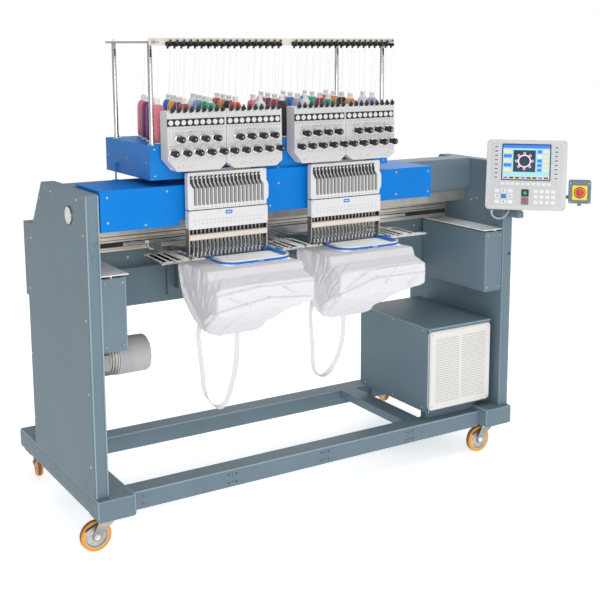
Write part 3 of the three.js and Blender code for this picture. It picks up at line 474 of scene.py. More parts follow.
# The tread's running face, darker than the orange sides.
TREAD_FACE = painted("dark_tread_face", (0.16, 0.115, 0.09), 0.6, grain=300, strength=0.2, spread=0.2)
CHROME = metal("chrome", (0.75, 0.75, 0.74), 0.12, (1, 1, 20), 0.05, 0.06)
ALLOY = metal("alloy_extrusion", (0.62, 0.56, 0.48), 0.34, (0.2, 40, 40))
RAIL = metal("rail_profile", (0.74, 0.68, 0.59), 0.4, (0.2, 40, 40))
ZINC = metal("zinc_plate", (0.60, 0.56, 0.47), 0.36, (20, 20, 20), 0.2, 0.2)
FORK_ZINC = metal("fork_zinc", (0.40, 0.38, 0.34), 0.3, (20, 20, 20), 0.25, 0.3)
CASTING = metal("motor_casting", (0.55, 0.54, 0.51), 0.5, (8, 8, 8), 0.5, 0.2)
# Both cottons glow as painted light: the first a little, on the bag's shaded sides and top; the second,
# brighter and glowing more, on the field inside the hoop under the head's shade.
COTTON = woven("white_cotton", (0.60, 0.59, 0.62), 0.12)
HOOPED_PAINTED_LIGHT = woven("hooped_cotton_painted_light", (0.86, 0.84, 0.80), 0.42)


# ------------------------------------------------------------------ castors

# Each swivel axis, and the way that its castor trails, in degrees.
CASTORS = {"front_left": (57, 76, 180), "front_right": (1991, 76, 180), "rear_left": (57, 890, 78),
           "rear_right": (1991, 890, 78)}
TRAIL = 44  # from the swivel axis to the axle
WHEEL = 62  # its radius


def castor(name, x, y, turn):
    """In its own axes a castor trails toward +x from the swivel axis."""
    spot = Matrix.Translation((x, y, 0)) @ Matrix.Rotation(math.radians(turn), 4, "Z")
    wheel = Form(spot)
    tread = [(49, -15), (57, -16), (61, -12), (WHEEL, -6), (WHEEL, 6), (61, 12), (57, 16), (49, 15),
             (49, -15)]
    wheel.lathe("y", (TRAIL, 0, WHEEL), tread, 0, 40)
    # A darker band over the running face of the tread.
    tread_band = [(60, -11.5), (WHEEL + 0.1, -7), (WHEEL + 0.1, 7), (60, 11.5), (60, -11.5)]
    wheel.lathe("y", (TRAIL, 0, WHEEL), tread_band, 2, 40)
    hub = [(9, -18), (17, -18), (19, -12), (27, -8), (40, -8), (44, -14), (49, -14.5), (49, 14.5), (44, 14),
           (40, 8),
           (27, 8), (19, 12), (17, 18), (9, 18), (9, -18)]
    wheel.lathe("y", (TRAIL, 0, WHEEL), hub, 1, 32)
    for k in range(6):
        angle = math.radians(60 * k)
        px, pz = TRAIL + 33 * math.cos(angle), WHEEL + 33 * math.sin(angle)
        wheel.rod("y", (px, -9.5, pz), 19, 5, 1, 10)
    make(f"wheel_{name}", wheel, [ORANGE, CASTING, TREAD_FACE], f"wheel_{name}", 0.6,
         [f"castor_wheel_{name}"])

    fork = Form(spot)
    fork.lathe("z", (0, 0, 121), [(0, 12.5), (31, 12.5), (36, 9), (36, 6), (30, 2), (26, 0), (0, 0)], 0, 32)
    cheek = [(-30, 124), (-24, 129), (26, 129), (38, 118), (TRAIL + 17, 72), (TRAIL + 14, 52), (TRAIL, 46),
             (TRAIL - 13, 53), (4, 92), (-22, 108)]
    for side in (-1, 1):
        y0 = side * 21.5 - 1.8
        fork.prism("y", cheek, y0, y0 + 3.6, 0)
        fork.rod("y", (TRAIL, y0 if side > 0 else y0 - 4, WHEEL), 7.6, 9, 1, 6)
        fork.rod("y", (TRAIL, y0 - 0.6, WHEEL), 4.8, 12, 1, 20)
    fork.prism("z", rounded(-30, 34, -23, 23, 12), 125.3, 129.2, 0)
    for px in (-38, 38):
        for py in (-32, 32):
            fork.rod("z", (px, py, 127), 6.6, 6.5, 1, 6)
    pedal = [(18, 116), (52, 118), (84, 104), (92, 92), (86, 90), (74, 98), (50, 108), (20, 106)]
    fork.prism("y", pedal, -17, 17, 2)
    make(f"fork_{name}", fork, [FORK_ZINC, CHROME, BLACK], f"castor_{name}", 0.8, [f"castor_fork_{name}"])


# ------------------------------------------------------------------ heads


def screw(form, axis, spot, radius, slot=0, dome=0.45, sign=-1):
    """A dome head screw with a socket rim, standing out along -axis or +axis."""
    h = radius * dome
    profile = [(0, h * 0.55), (radius * 0.45, h * 0.55), (radius * 0.5, h), (radius * 0.75, h * 0.85),
               (radius, 0), (0, 0)]
    form.lathe(axis, spot, [(r, sign * k) for r, k in profile], slot, 16)


def needle_x(index, needle):
    """Where a needle of a head stands, the first one on the left."""
    return CASE_X + index * PITCH + (needle - 9.5) * NEEDLE_PITCH


def slot_outline(x, top=1446, turn=1402, bottom=1333, half=3.6):
    """The course of a take-up slot: down, one step sideways, then down."""
    return [(x - half, top), (x - half, turn + 18), (x + 13.6, turn - 2), (x + 13.6, bottom),
            (x + 13.6 + 2 * half, bottom),
            (x + 13.6 + 2 * half, turn), (x + half, turn + 20), (x + half, top)]


def needle_case(index):
    """The white case with its take-up slots painted on in shade, levers, badge and screws."""
    x = CASE_X + index * PITCH
    left, right = x - CASE_HALF, x + CASE_HALF
    case = Form()
    outline = rounded(left, right - 3, 1317, 1460, 7)
    case.prism("y", outline, -15, 10, 0)
    case.prism("y", rounded(left, right, 1242, 1314, 6), -18, 12, 0)
    case.prism("y", rounded(left + 5, right - 10, 1250, 1452, 6), 8, 22, 1)
    case.prism("y", [(right - 6, 1330), (right + 6, 1342), (right + 8, 1356), (right + 8, 1392),
                     (right + 4, 1406), (right - 6, 1416)], -12, 14, 0)
    case.box(left + 20, right - 60, 8, 21.5, 1450, 1469, 1)
    for needle in range(1, NEEDLES + 1):
        nx = needle_x(index, needle) - 12
        # Each take-up slot is painted on the face: a grey slot shape with a near-black line in it, painted
        # shade in the opening.
        case.prism("y", slot_outline(nx, half=5.0), -15.5, -8, 5)
        case.prism("y", slot_outline(nx - 2.6, 1444, 1404, 1336, 1.3), -15.9, -8, 2)
        case.prism("y", [(nx - 4, 1448), (nx - 4, 1424), (nx + 1, 1412), (nx + 8, 1400), (nx + 10, 1404),
                         (nx + 5, 1418), (nx + 3, 1448)], -22, -12, 2)
        case.rod("y", (nx, -25, 1441), 5, 3.2, 3, 10)
        case.lathe("y", (nx + 17, -15, 1324), [(0, 0), (1.8, 0), (1.4, -0.8), (0, -1)], 2, 8)
    for k in range(18):
        nx = needle_x(index, k + 1)
        case.box(nx - 0.7, nx + 0.7, -18.5, -17, 1274, 1278, 2)
        case.box(nx - 2.0, nx + 2.0, -18.4, -17, 1262, 1263.4, 2)
    # A near-black strip in the gap between the case's upper and lower parts: painted shade.
    case.box(left + 4, right - 6, -16.2, 6, 1314, 1317, 2)
    case.prism("y", rounded(x - 15, x + 15, 1293, 1307, 4), -19, -17, 4)
    case.prism("y", rounded(x - 10, x + 10, 1298, 1302, 1.8), -19.3, -17, 0)
    for px, pz in ((left + 8, 1306), (right - 8, 1306), (left + 8, 1250), (right - 8, 1250)):
        screw(case, "y", (px, -18, pz), 3.6, 3)
    for px, pz in ((left + 7, 1453), (right - 12, 1453), (left + 7, 1324)):
        screw(case, "y", (px, -15, pz), 3.2, 3)
    make(f"case_{index + 1}", case, [WHITE, SHADE, DARK, CHROME, HOOP_BLUE, SLOT_SHADE], f"case_{index + 1}",
         0.8,
         [f"needle_case_{index + 1}"])


def needle_row(index):
    """The cream bar and its needles, in darkened steel before a near-black plate, both painted shade under
    the head; the needle over the hook is a piece of its own.
    """
    x = CASE_X + index * PITCH
    half = CASE_HALF
    row = Form()
    row.prism("x", rounded(-17, 7, 1198, 1221, 8), x - half + 2, x + half - 2, 0)
    # A near-black plate behind the needles: painted shade under the head.
    row.box(x - half + 8, x + half - 8, 14, 17, 1180, 1248, 3)
    for side in (-1, 1):
        px = x + side * (half - 3)
        plate = [(-16, 1246), (14, 1246), (14, 1150), (6, 1132), (-6, 1132), (-14, 1160)]
        row.prism("x", plate, px - 2.5, px + 2.5, 1)
        screw(row, "x", (px + side * 2.5, -3, 1232), 4, 1, sign=side)
    for needle in range(1, NEEDLES + 1):
        nx = needle_x(index, needle)
        if needle != SEWING:
            foot(row, nx)
        row.rod("z", (nx + 5.4, 9, 1180), 60, 1.7, 1, 8)
    make(f"needles_{index + 1}", row, [CREAM, SHADED_NEEDLE_STEEL, BLACK, DARK], f"case_{index + 1}", 0.4,
         [f"needle_row_{index + 1}"])
    active = Form()
    foot(active, needle_x(index, SEWING), point=True)
    make(f"needle_{index + 1}", active, [CREAM, SHADED_NEEDLE_STEEL, BLACK], f"needle_{index + 1}", 0,
         [f"active_needle_{index + 1}"])


def foot(form, x, point=False):
    """A needle bar with its clamp, spring and presser foot."""
    y = 4
    bar = [(0, 1262), (3.2, 1262), (3.2, 1196), (4.4, 1195), (4.4, 1184), (3.2, 1183), (1.4, 1180),
           (1.2, 1152), (0, 1150)]
    form.lathe("z", (x, y, 0), bar, 1, 10)
    shoe = [(0, 1160), (2.4, 1160), (2.6, 1152), (5.6, 1148), (5.8, 1134), (4.6, 1129), (0, 1129)]
    form.lathe("z", (x, y, 0), shoe, 1, 10)
    form.rod("z", (x, y - 8.5, 1150), 52, 2.1, 1, 8)
    form.box(x - 2.2, x + 2.2, y - 10, y, 1150, 1156, 1)
    if point:
        form.lathe("z", (x, y, 0), [(0, 1134), (0.9, 1134), (0.8, 1128.5), (0, 1127.2)], 1, 8)
    for k in range(5):
        z = 1188 - 6.5 * k
        form.lathe("z", (x, y - 8.5, z), [(2.2, -1.2), (3.2, 0), (2.2, 1.2), (1.6, 0), (2.2, -1.2)], 1, 8)


THREAD_WHEEL = [(0, 0), (9.6, 0), (9.6, -2.5), (8.4, -3.4), (3, -2.6), (3, -4.6), (0, -4.6)]
WHEEL_PITCH, KNOB_PITCH = 26.2, 51
KNOB_DISC = [(0, 0), (16.5, 0), (16.5, -1.6), (11, -3.4), (16, -5.2), (16, -7), (9, -8), (0, -8)]
KNOB_GRIP = [(0, -8), (6.5, -8), (9.5, -12), (12, -15), (12.4, -33), (10.6, -36.5), (6, -36.5), (5.4, -39.5),
             (0, -39.5)]


def tension_knob(form, x, z):
    """Discs, a ribbed grip and the printed marks round it."""
    y = -30
    form.rod("y", (x, y, z), -1.2, 18.5, 6, 20)
    form.lathe("y", (x, y, z), KNOB_DISC, 3, 20)
    form.lathe("y", (x, y, z), KNOB_GRIP, 2, 12)
    for k in range(12):
        angle = math.radians(30 * k)
        form.box(x + 12 * math.cos(angle) - 1, x + 12 * math.cos(angle) + 1, y - 32, y - 16,
                 z + 12 * math.sin(angle) - 1, z + 12 * math.sin(angle) + 1, 2)
    form.rod("y", (x, y - 39, z), -2, 2.6, 3, 8)
    for side in (-1, 1):
        form.rod("y", (x + side * 15, y, z + 23), -0.5, 1.3, 4, 8)
        form.box(x + side * 9 - 2.2, x + side * 9 + 2.2, y - 0.4, y, z + 26, z + 27.2, 4)
        form.box(x + side * 8 - 2.6, x + side * 8 + 2.6, y - 0.4, y, z - 24.2, z - 23, 4)


def tension_unit(index):
    """Two halves with thread wheels and guides along the top, and two rows of tension knobs."""
    dx = index * PITCH
    left, right, middle = 310 + dx, 803 + dx, 556 + dx
    unit = Form()
    half_left = [(left, 1515), (left + 38, 1470), (middle - 28, 1470), (middle - 0.8, 1495),
                 (middle - 0.8, 1697), (left, 1697)]
    half_right = [(middle + 0.8, 1495), (middle + 36, 1470), (right - 27, 1470), (right, 1490),
                  (right - 2, 1694), (middle + 0.8, 1697)]
    for outline in (half_left, half_right):
        unit.prism("y", outline, -30, 32, 0)
    # A near-black strip in the gap between the two halves: painted shade.
    unit.box(middle - 2, middle + 2, -26, 30, 1500, 1690, 4)
    for start in (left + 14, middle + 15):
        unit.box(start - 14, start + WHEEL_PITCH * 8 + 14, -31.2, -28, 1640, 1668, 2)
        for k in range(9):
            wheel_x = start + WHEEL_PITCH * k
            unit.lathe("y", (wheel_x, -31.2, 1654), THREAD_WHEEL, 1, 20)
            guide(unit, wheel_x + 8)
    for start in (left + 22, middle + 26):
        for k in range(5):
            tension_knob(unit, start + KNOB_PITCH * k, 1540)
        for k in range(4):
            tension_knob(unit, start + KNOB_PITCH * (k + 0.5), 1592)
        for k in range(18):
            unit.rod("y", (start - 12 + 13 * k, -30, 1632), -0.5, 1.6, 4, 8)
            unit.rod("y", (start - 12 + 13 * k, -30, 1616), -0.5, 1.1, 4, 8)
        unit.lathe("y", (start + 76, -30, 1620), [(0, 0), (2.6, 0), (2.2, -1.6), (0, -2)], 5, 12)
        unit.lathe("y", (start + 99, -30, 1620), [(0, 0), (2.2, 0), (2.0, -1.2), (0, -1.6)], 4, 12)
        screw(unit, "y", (start - 8, -30, 1484), 3.4, 3)
        screw(unit, "y", (start + 204, -30, 1604), 3.4, 3)
    unit.box(left + 8, right - 8, -26, -18, 1695, 1701, 0)
    for start in (left + 46, left + 90, middle + 60, middle + 104, middle + 196):
        unit.lathe("y", (start, -30, 1486), [(0, 0), (2.2, 0), (1.8, -1.2), (0, -1.6)], 7, 10)
        unit.rod("y", (start + 16, -30, 1492), -0.6, 1.5, 4, 10)
    make(f"tension_{index + 1}", unit, [CASING, WHITE, BLACK, CHROME, DARK, RED, SHADE, AMBER_DOT],
         f"case_{index + 1}", 0.9,
         [f"tension_unit_{index + 1}"])


def guide(form, x, z=1698, y=-24, slot=2):
    """A black thread guide: a leaning stem with a round eye."""
    form.tube([(x + 9, y + 6, z + 13), (x + 1, y - 2, z + 3), (x - 7, y - 12, z - 7)], 4.6, slot, 8)
    eye = [(6.5, -6), (8.6, -4), (8.6, 4), (6.5, 6), (2.6, 4), (2.6, -4), (6.5, -6)]
    form.lathe("y", (x + 1, y - 6, z + 2), eye, slot, 12)
    form.rod("y", (x - 6, y - 8 - 4, z - 9), 7, 4, 3, 10)


# ------------------------------------------------------------------ thread stand

PINK, CLARET, PLUM = (0.82, 0.20, 0.27), (0.42, 0.02, 0.05), (0.17, 0.01, 0.13)
BLUE, SKY, LEAF = (0.01, 0.16, 0.58), (0.20, 0.38, 0.75), (0.0, 0.30, 0.17)
SUN, AMBER, FLAME = (0.90, 0.42, 0.01), (0.75, 0.28, 0.02), (0.80, 0.06, 0.01)
SNOW, LILAC, COAL = (0.80, 0.80, 0.84), (0.45, 0.42, 0.62), (0.012, 0.012, 0.014)
MINT, RUST = (0.0, 0.42, 0.25), (0.38, 0.09, 0.04)
# One colour for each pin, four pins from front to rear in each group.
CONES = [
    PINK, PLUM, PLUM, PINK, RUST, PLUM, SUN, BLUE, MINT, LEAF, SKY, SNOW,
    FLAME, COAL, AMBER, CLARET, SNOW, PINK, COAL, CLARET, PLUM, PINK, SNOW, LILAC,
    BLUE, SUN, LEAF, CLARET, MINT, BLUE, AMBER, COAL, AMBER, FLAME, LILAC, SNOW,
]
THREADS = {}


def thread(color):
    """The wound thread of one colour, made once."""
    if color not in THREADS:
        THREADS[color] = wound(f"thread_{len(THREADS) + 1}", color)
    return THREADS[color]


def cone(form, x, y, slot):
    """A cone on its pin: the base disc, the wound body and the core's neck."""
    form.lathe("z", (x, y, PIN_BASE), [(0, 0.4), (29, 0.4), (30, 3), (27, 6), (0, 6)], 0, 24)
    body = [(0, 8), (24, 8), (27, 12), (27.4, 20), (26, 122), (23.5, 136), (18.5, 146), (12, 151), (0, 151)]
    form.lathe("z", (x, y, PIN_BASE), body, slot, 28)
    neck = [(0, 149), (14, 149), (10.5, 156), (9.5, 160), (11, 162), (11, 170), (8.5, 173), (0, 174)]
    form.lathe("z", (x, y, PIN_BASE), neck, 0, 20)


def pin(k):
    """Where the kth cone pin stands; the pins go four deep, each set a step to the right."""
    index, i = divmod(k, NEEDLES)
    return 332 + index * PITCH + 28 * i, 106 + (i % 4) * 108


def cones():
    """A full cone of thread on every pin."""
    stand = Form()
    paints = [painted("cone_core", (0.82, 0.82, 0.80), 0.3, spread=0.03)]
    for k, color in enumerate(CONES):
        mat = thread(color)
        if mat not in paints:
            paints.append(mat)
        cone(stand, *pin(k), paints.index(mat))
    make("thread_cones", stand, paints, "frame", 0, ())


def strands():
    """Threads: from each cone up to the rack's guides, and down from there to the tension units."""
    rise, fall = Form(), Form()
    for k in range(len(CONES)):
        cx, cy = pin(k)
        index, i = divmod(k, NEEDLES)
        gx = GUIDE_STARTS[index] + i * GUIDE_PITCH
        rise.tube([(cx, cy, 1741), (gx, cy * 0.98, 1949), (gx, 30, 1948), (gx, 14, 1940)], 0.45, 0, 4)
        side, j = divmod(i, 9)
        tx = (324, 571)[side] + index * PITCH + WHEEL_PITCH * j
        fall.tube([(gx, 6, 1938), (tx, -28, 1712), (tx, -33, 1664)], 0.45, 0, 4)
        fall.tube([(tx, -34, 1645), (tx + 3, -38, 1600)], 0.4, 0, 4)
    fine = painted("fine_thread", (0.72, 0.70, 0.72), 0.5, spread=0.1)
    make("threads_rising", rise, [fine], "frame")
    drop = make("threads_falling", fall, [fine], None)
    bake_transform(drop)


def rack_guides():
    """The black eyes along the rack's front rail, one for each thread."""
    guides = Form()
    for start in GUIDE_STARTS:
        for k in range(NEEDLES):
            x = start + GUIDE_PITCH * k
            guides.tube([(x + 12, 20, 1958), (x + 4, 14, 1950), (x - 4, 6, 1942)], 4.2, 0, 8)
            guides.tube([(x - 4, 18, 1944), (x - 8, 8, 1936), (x - 12, 0, 1929)], 4.2, 0, 8)
            guides.lathe("y", (x, 8, 1942), [(7, -6), (9, -3), (9, 3), (7, 6), (3, 3), (3, -3), (7, -6)], 0,
                         12)
        guides.box(start - 10, start + GUIDE_PITCH * (NEEDLES - 1) + 10, 20.5, 23.6, 1936, 1952, 0)
    make("rack_guides", guides, [BLACK], "frame", 0, ["thread_guides"])


def rack():
    """Plated posts with collars and end caps, thin cross rods and the pale front rail."""
    form = Form()
    post = [(0, 0), (17, 0), (17, 3), (11, 4), (11, 16), (9, 17), (9, 384), (7, 388), (0, 388)]
    for x in (287, 1350):
        for y in (60, 411):
            form.lathe("z", (x, y, PIN_BASE + 0.3), post, 0, 20)
            screw(form, "z", (x, y, 1958), 7, 0, sign=1)
            form.box(x - 3, x + 3, y - 10, y - 8, 1895, 1925, 2)
        form.box(x - 8, x + 8, -10, 481, 1946, 1954, 3)
    form.box(270, 1385, 24, 29, 1938, 1966, 1)
    make("stand_rack", form, [STEEL, CREAM, BLACK, SHADE], "frame", 0.8, ["thread_rack"])


# ------------------------------------------------------------------ pieces kept from the frame


def soften(name, mats, edge, extra=None, body="frame"):
    """The same shape as a CAD node, with its edges broken, and small parts added to it."""
    source = NODES[name]
    mesh = source.data.copy()
    shell = bmesh.new()
    shell.from_mesh(mesh)
    bmesh.ops.remove_doubles(shell, verts=shell.verts, dist=0.00002)
    bmesh.ops.dissolve_limit(shell, angle_limit=math.radians(1.5), verts=shell.verts, edges=shell.edges)
    made = finished(f"{name}_finished", mesh, shell, 35, edge)
    mesh.materials.clear()
    mesh.materials.append(mats[0])
    mesh.polygons.foreach_set("material_index", [0] * len(mesh.polygons))
    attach(made, body)
    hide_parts(name)
    if extra:
        make(f"{name}_details", extra, mats[1:] or mats, body, 0.3, ())


def bead(form, start, end, slot, radius=3.5):
    """A rounded strip along an edge, which its callers paint in the paler slate as a highlight; start and end
    are points of the sharp edge's inner side.
    """
    form.tube([start, end], radius, slot, 12)


def base():
    """Painted highlights along the base's edges, the end caps of its feet, and its bolts."""
    form = Form()
    # Edge strips in the paler slate: painted highlights.
    for y in (63, 689):
        bead(form, (154, y, 203), (1934, y, 203), 2)
    for left in FEET:
        for x in (left + 3, left + 151):
            bead(form, (x, 3, 154), (x, 3, 222), 2)
            bead(form, (x, 3, 222), (x, 962, 222), 2, THIN_BEAD)
        bead(form, (left + 3, 3, 222), (left + 151, 3, 222), 2, THIN_BEAD)
    for left in FEET:
        form.prism("y", rounded(left + 7, left + 147, 147, 218, 4), 955, 964, 0)
        form.prism("y", rounded(left + 30, left + 124, 160, 205, 4), 963, 965.5, 0)
    for x in (210, 606, 1062, 1523):
        for z in (150, 182):
            screw(form, "y", (x, 60, z), 7, 1)
    for x in (126, 1954):
        for y in (40, 560, 820):
            screw(form, "z", (x, y, 225), 6, 1, sign=1)
    soften("base_frame", [SLATE, BLACK, SLATE, SLATE_HIGHLIGHT], 2.0, form)


def beam():
    """The upper beam's rear cover plate, and the cast plate under the blue covers."""
    form = Form()
    form.prism("y", rounded(140, 1960, 1262, 1384, 8), 439.5, 441.6, 0)
    form.box(60, 2028, 300, 303, 1197, 1246, 2)
    for x in range(165, 1960, 296):
        for z in (1276, 1370):
            screw(form, "y", (x, 441.6, z), 5.5, 1, sign=1)
    soften("upper_beam", [SLATE, SLATE, ZINC, CASTING], 2.0, form)


def towers():
    """Painted highlights along the front edges of both towers, and the screws of the left tower's cover."""
    for side, edges, y in (("left", (6, 52), 27), ("right", (2036, 2085), 31)):
        form = Form()
        # Front edge strips in the paler slate: painted highlights.
        for x in edges:
            bead(form, (x, y, 229), (x, y, 1396), 0, THIN_BEAD)
        soften(f"tower_{side}", [SLATE, SLATE_HIGHLIGHT], 2.5, form)
    form = Form()
    for y, z in ((396, 1376), (537, 1333), (109, 1376), (52, 1250), (674, 1148), (713, 927), (51, 926),
                 (55, 639), (60, 349), (722, 639), (725, 351)):
        screw(form, "x", (0.2, y, z), 6, 0)
    soften("tower_left_cover", [SLATE, ZINC], 0.8, form)


def bed():
    """Screws along the bed's front, three plates on its rear, and the air slots in the right one, painted
    near black as shade.
    """
    form = Form()
    for x in range(170, 1900, 190):
        screw(form, "y", (x, 515, 1052), 6)
    for left, right in ((90, 670), (684, 1360), (1374, 2000)):
        form.prism("y", rounded(left, right, 862, 1062, 10), 699.5, 701.8, 1)
        for x in (left + 18, (left + right) / 2, right - 18):
            for z in (880, 1044):
                screw(form, "y", (x, 701.8, z), 5.5, 0, sign=1)
    # Near-black strips for the air slots: painted shade in the openings.
    for k in range(9):
        form.prism("y", rounded(1600 + 24 * k, 1612 + 24 * k, 900, 1020, 5), 701.4, 702.4, 2)
    soften("bed", [SLATE, ZINC, SLATE, DARK], 2.5, form)


def arms(index):
    """The bed's arm with its throat plate, and the head's casting."""
    x = ARM_X + index * PITCH
    form = Form()
    form.prism("z", rounded(x - 30, x + 30, -18, 180, 6), 1085.6, 1087.2, 0)
    for y in (30, 90, 150):
        for side in (-1, 1):
            screw(form, "z", (x + side * 24, y, 1087.2), 2.6, 0, 0.3, 1)
    soften(f"bed_arm_{index + 1}", [SLATE, STEEL], 2.0, form)
    soften(f"head_arm_{index + 1}", [WHITE], 3.0)


def side_boxes():
    """The boxes at both ends of the bed, and their pale shelves."""
    for side, left, right in (("left", 55.3, 155.3), ("right", 1932.7, 2032.7)):
        form = Form()
        for x in (left + 14, right - 14):
            for z in (815, 1060):
                screw(form, "y", (x, 34, z), 4.2)
        # Edge strips in the paler slate: painted highlights.
        for x in (left + 3, right - 3):
            bead(form, (x, 37, 798), (x, 37, 1076), 1, THIN_BEAD)
        soften(f"side_box_{side}", [SLATE, ZINC, SLATE_HIGHLIGHT], 2.0, form)
    for side in ("left", "right"):
        low, high = ((Vector(corner) - CORNER) * 1000 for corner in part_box(f"side_shelf_{side}"))
        form = Form()
        for x in (low.x + 16, high.x - 16):
            for y in (70, 460):
                screw(form, "z", (x, y, 1091.2), 4.2, 0, 0.4, 1)
        soften(f"side_shelf_{side}", [SHELF, ZINC], 0.8, form)


# The edge radius of each blue cover, and its front screws.
COVERS = {
    "left": (4.0, ((500, 1345), (90, 1385), (90, 1290), (240, 1270), (330, 1392))),
    "middle": (3.0, ((780, 1300), (820, 1390), (1060, 1300))),
    "right": (4.0, ((1585, 1300), (1585, 1390), (1410, 1300), (1410, 1395))),
}


def covers():
    """The three blue covers in front of the beam."""
    for name, (edge, spots) in COVERS.items():
        form = Form()
        for x, z in spots:
            screw(form, "y", (x, 30.2, z), 5.2)
        soften(f"cover_{name}", [AZURE, ZINC], edge, form)


def thread_box():
    """The blue box under the cones, with its screws."""
    form = Form()
    for x in (290, 560, 830, 1100, 1352):
        for z in (1450, 1551):
            screw(form, "y", (x, 46, z), 4.5)
            screw(form, "y", (x, 489, z), 4.5, 0, sign=1)
    for y in (80, 270, 455):
        screw(form, "x", (270, y, 1500), 4.5)
        screw(form, "x", (1372, y, 1500), 4.5, 0, sign=1)
    soften("thread_box", [AZURE_TOP, ZINC], 2.5, form)


def cabinet():
    """Two fans and the air slots on the rear, their openings painted near black as shade; painted highlights
    along the edges, and screws on the front and side.
    """
    form = Form()
    middle = 470
    for x in (1730, 1880):
        for radius in (14, 26, 38, 50):
            form.ring("y", (x, 614, middle), radius, radius + 5, 0, 2.2, 0, 36)
        form.box(x - 2.5, x + 2.5, 613.5, 615.4, middle - 54, middle + 54, 0)
        form.box(x - 54, x + 54, 613.5, 615.4, middle - 2.5, middle + 2.5, 0)
        # A near-black disc behind each fan guard: painted shade in the opening.
        form.rod("y", (x, 613.6, middle), 0.8, 56, 1, 36)
        for angle in (45, 135, 225, 315):
            turn = math.radians(angle)
            screw(form, "y", (x + 66 * math.cos(turn), 614, middle + 66 * math.sin(turn)), 4, 0, sign=1)
    # Near-black strips for the air slots: painted shade.
    for k in range(10):
        form.prism("y", rounded(1690 + 26 * k, 1706 + 26 * k, 590, 596, 2.8), 613.6, 614.6, 1)
    form.box(1633.2, 1996.8, 62, 72, 637.6, 652, 2)
    # Edge strips in the paler slate: painted highlights.
    for start, end in (((1633, 61, 652), (1997, 61, 652)), ((1633, 61, 652), (1633, 610, 652)),
                       ((1633, 61, 254), (1633, 61, 652))):
        bead(form, start, end, 3, THIN_BEAD)
    for y in (110, 340, 570):
        for z in (640, 268):
            screw(form, "x", (1630, y, z), 4.5, 0)
    soften("cabinet", [SLATE, ZINC, DARK, SLATE, SLATE_HIGHLIGHT], 1.2, form)


def carriage():
    """The pantograph's beam with its rolled ribs and grooves painted near black as shade, its bar, and the
    forked hoop holders.
    """
    form = Form()
    for low, high, out in ((1141, 1147, 2), (1150, 1163, 4), (1166, 1178, 3), (1181, 1190, 4.5),
                           (1104, 1111, 3),
                           (1113, 1118, 2)):
        form.box(92, 1998, 420 - out, 421, low, high, 0)
    for x in range(140, 2000, 120):
        screw(form, "y", (x, 416, 1156.5), 3.2, 1)
    # Near-black strips in the grooves between the ribs: painted shade.
    for low, high in ((1119.5, 1139.5), (1147.6, 1149.4), (1163.6, 1165.4), (1178.6, 1180.4)):
        form.box(92, 1998, 419.2, 421, low, high, 2)
    soften("y_beam", [ALLOY, RAIL, ZINC, DARK], 1.2, form, body="y_carriage")
    soften("motor_pulley", [STEEL], 1.0, body="motor_rotor")
    soften("main_shaft", [STEEL], 1.0, body="shaft")
    soften("drive_belt", [BLACK], 0.6)
    soften("x_bar", [STEEL], 1.0, body="x_carriage")
    for index, lefts in enumerate(((314,), (846, 1397))):
        form = Form()
        for left in lefts:
            for x in (left + 102, left + 138):
                screw(form, "z", (x, 404, 1140.2), 5, 0, 0.5, 1)
            for x in (left + 10, left + 60, left + 130, left + 196):
                screw(form, "z", (x, 77, 1106.2), 5, 0, 0.5, 1)
        soften(f"hoop_holder_{index + 1}", [STEEL, ZINC], 0.8, form, body="x_carriage")


def hook(index):
    """A rotary hook: its basket and cap, with a slot painted black as shade."""
    x = ARM_X + index * PITCH
    low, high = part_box(f"rotary_hook_{index + 1}")
    y0, y1 = (low.y - CORNER.y) * 1000, (high.y - CORNER.y) * 1000
    form = Form()
    d = y1 - y0
    profile = [(0, y0 + 3), (9, y0 + 3), (10, y0 + 1), (17, y0 + 1), (19, y0), (22, y0 + 1), (26, y0 + 5),
               (26, y0 + 12), (24.5, y0 + 13),
               (24.5, y0 + 18), (25.8, y0 + 19), (24, y0 + 0.62 * d), (9, y0 + 0.66 * d), (9, y1), (0, y1)]
    form.lathe("y", (x, 0, HOOK_Z), profile, 0, 36)
    form.rod("y", (x, y0 + 2.9, HOOK_Z), -1.6, 5, 1, 12, 4)
    # A black strip for the slot: painted shade.
    form.box(x - 1.4, x + 1.4, y0 + 0.4, y0 + 3, 1031, 1042, 1)
    make(f"hook_{index + 1}", form, [CHROME, BLACK], f"hook_{index + 1}", 0.3, [f"rotary_hook_{index + 1}"])


MOTOR_AXIS = (0, 300, 696)
COWL_GROOVES, COWL_RINGS = 5, (18, 30, 42, 54)


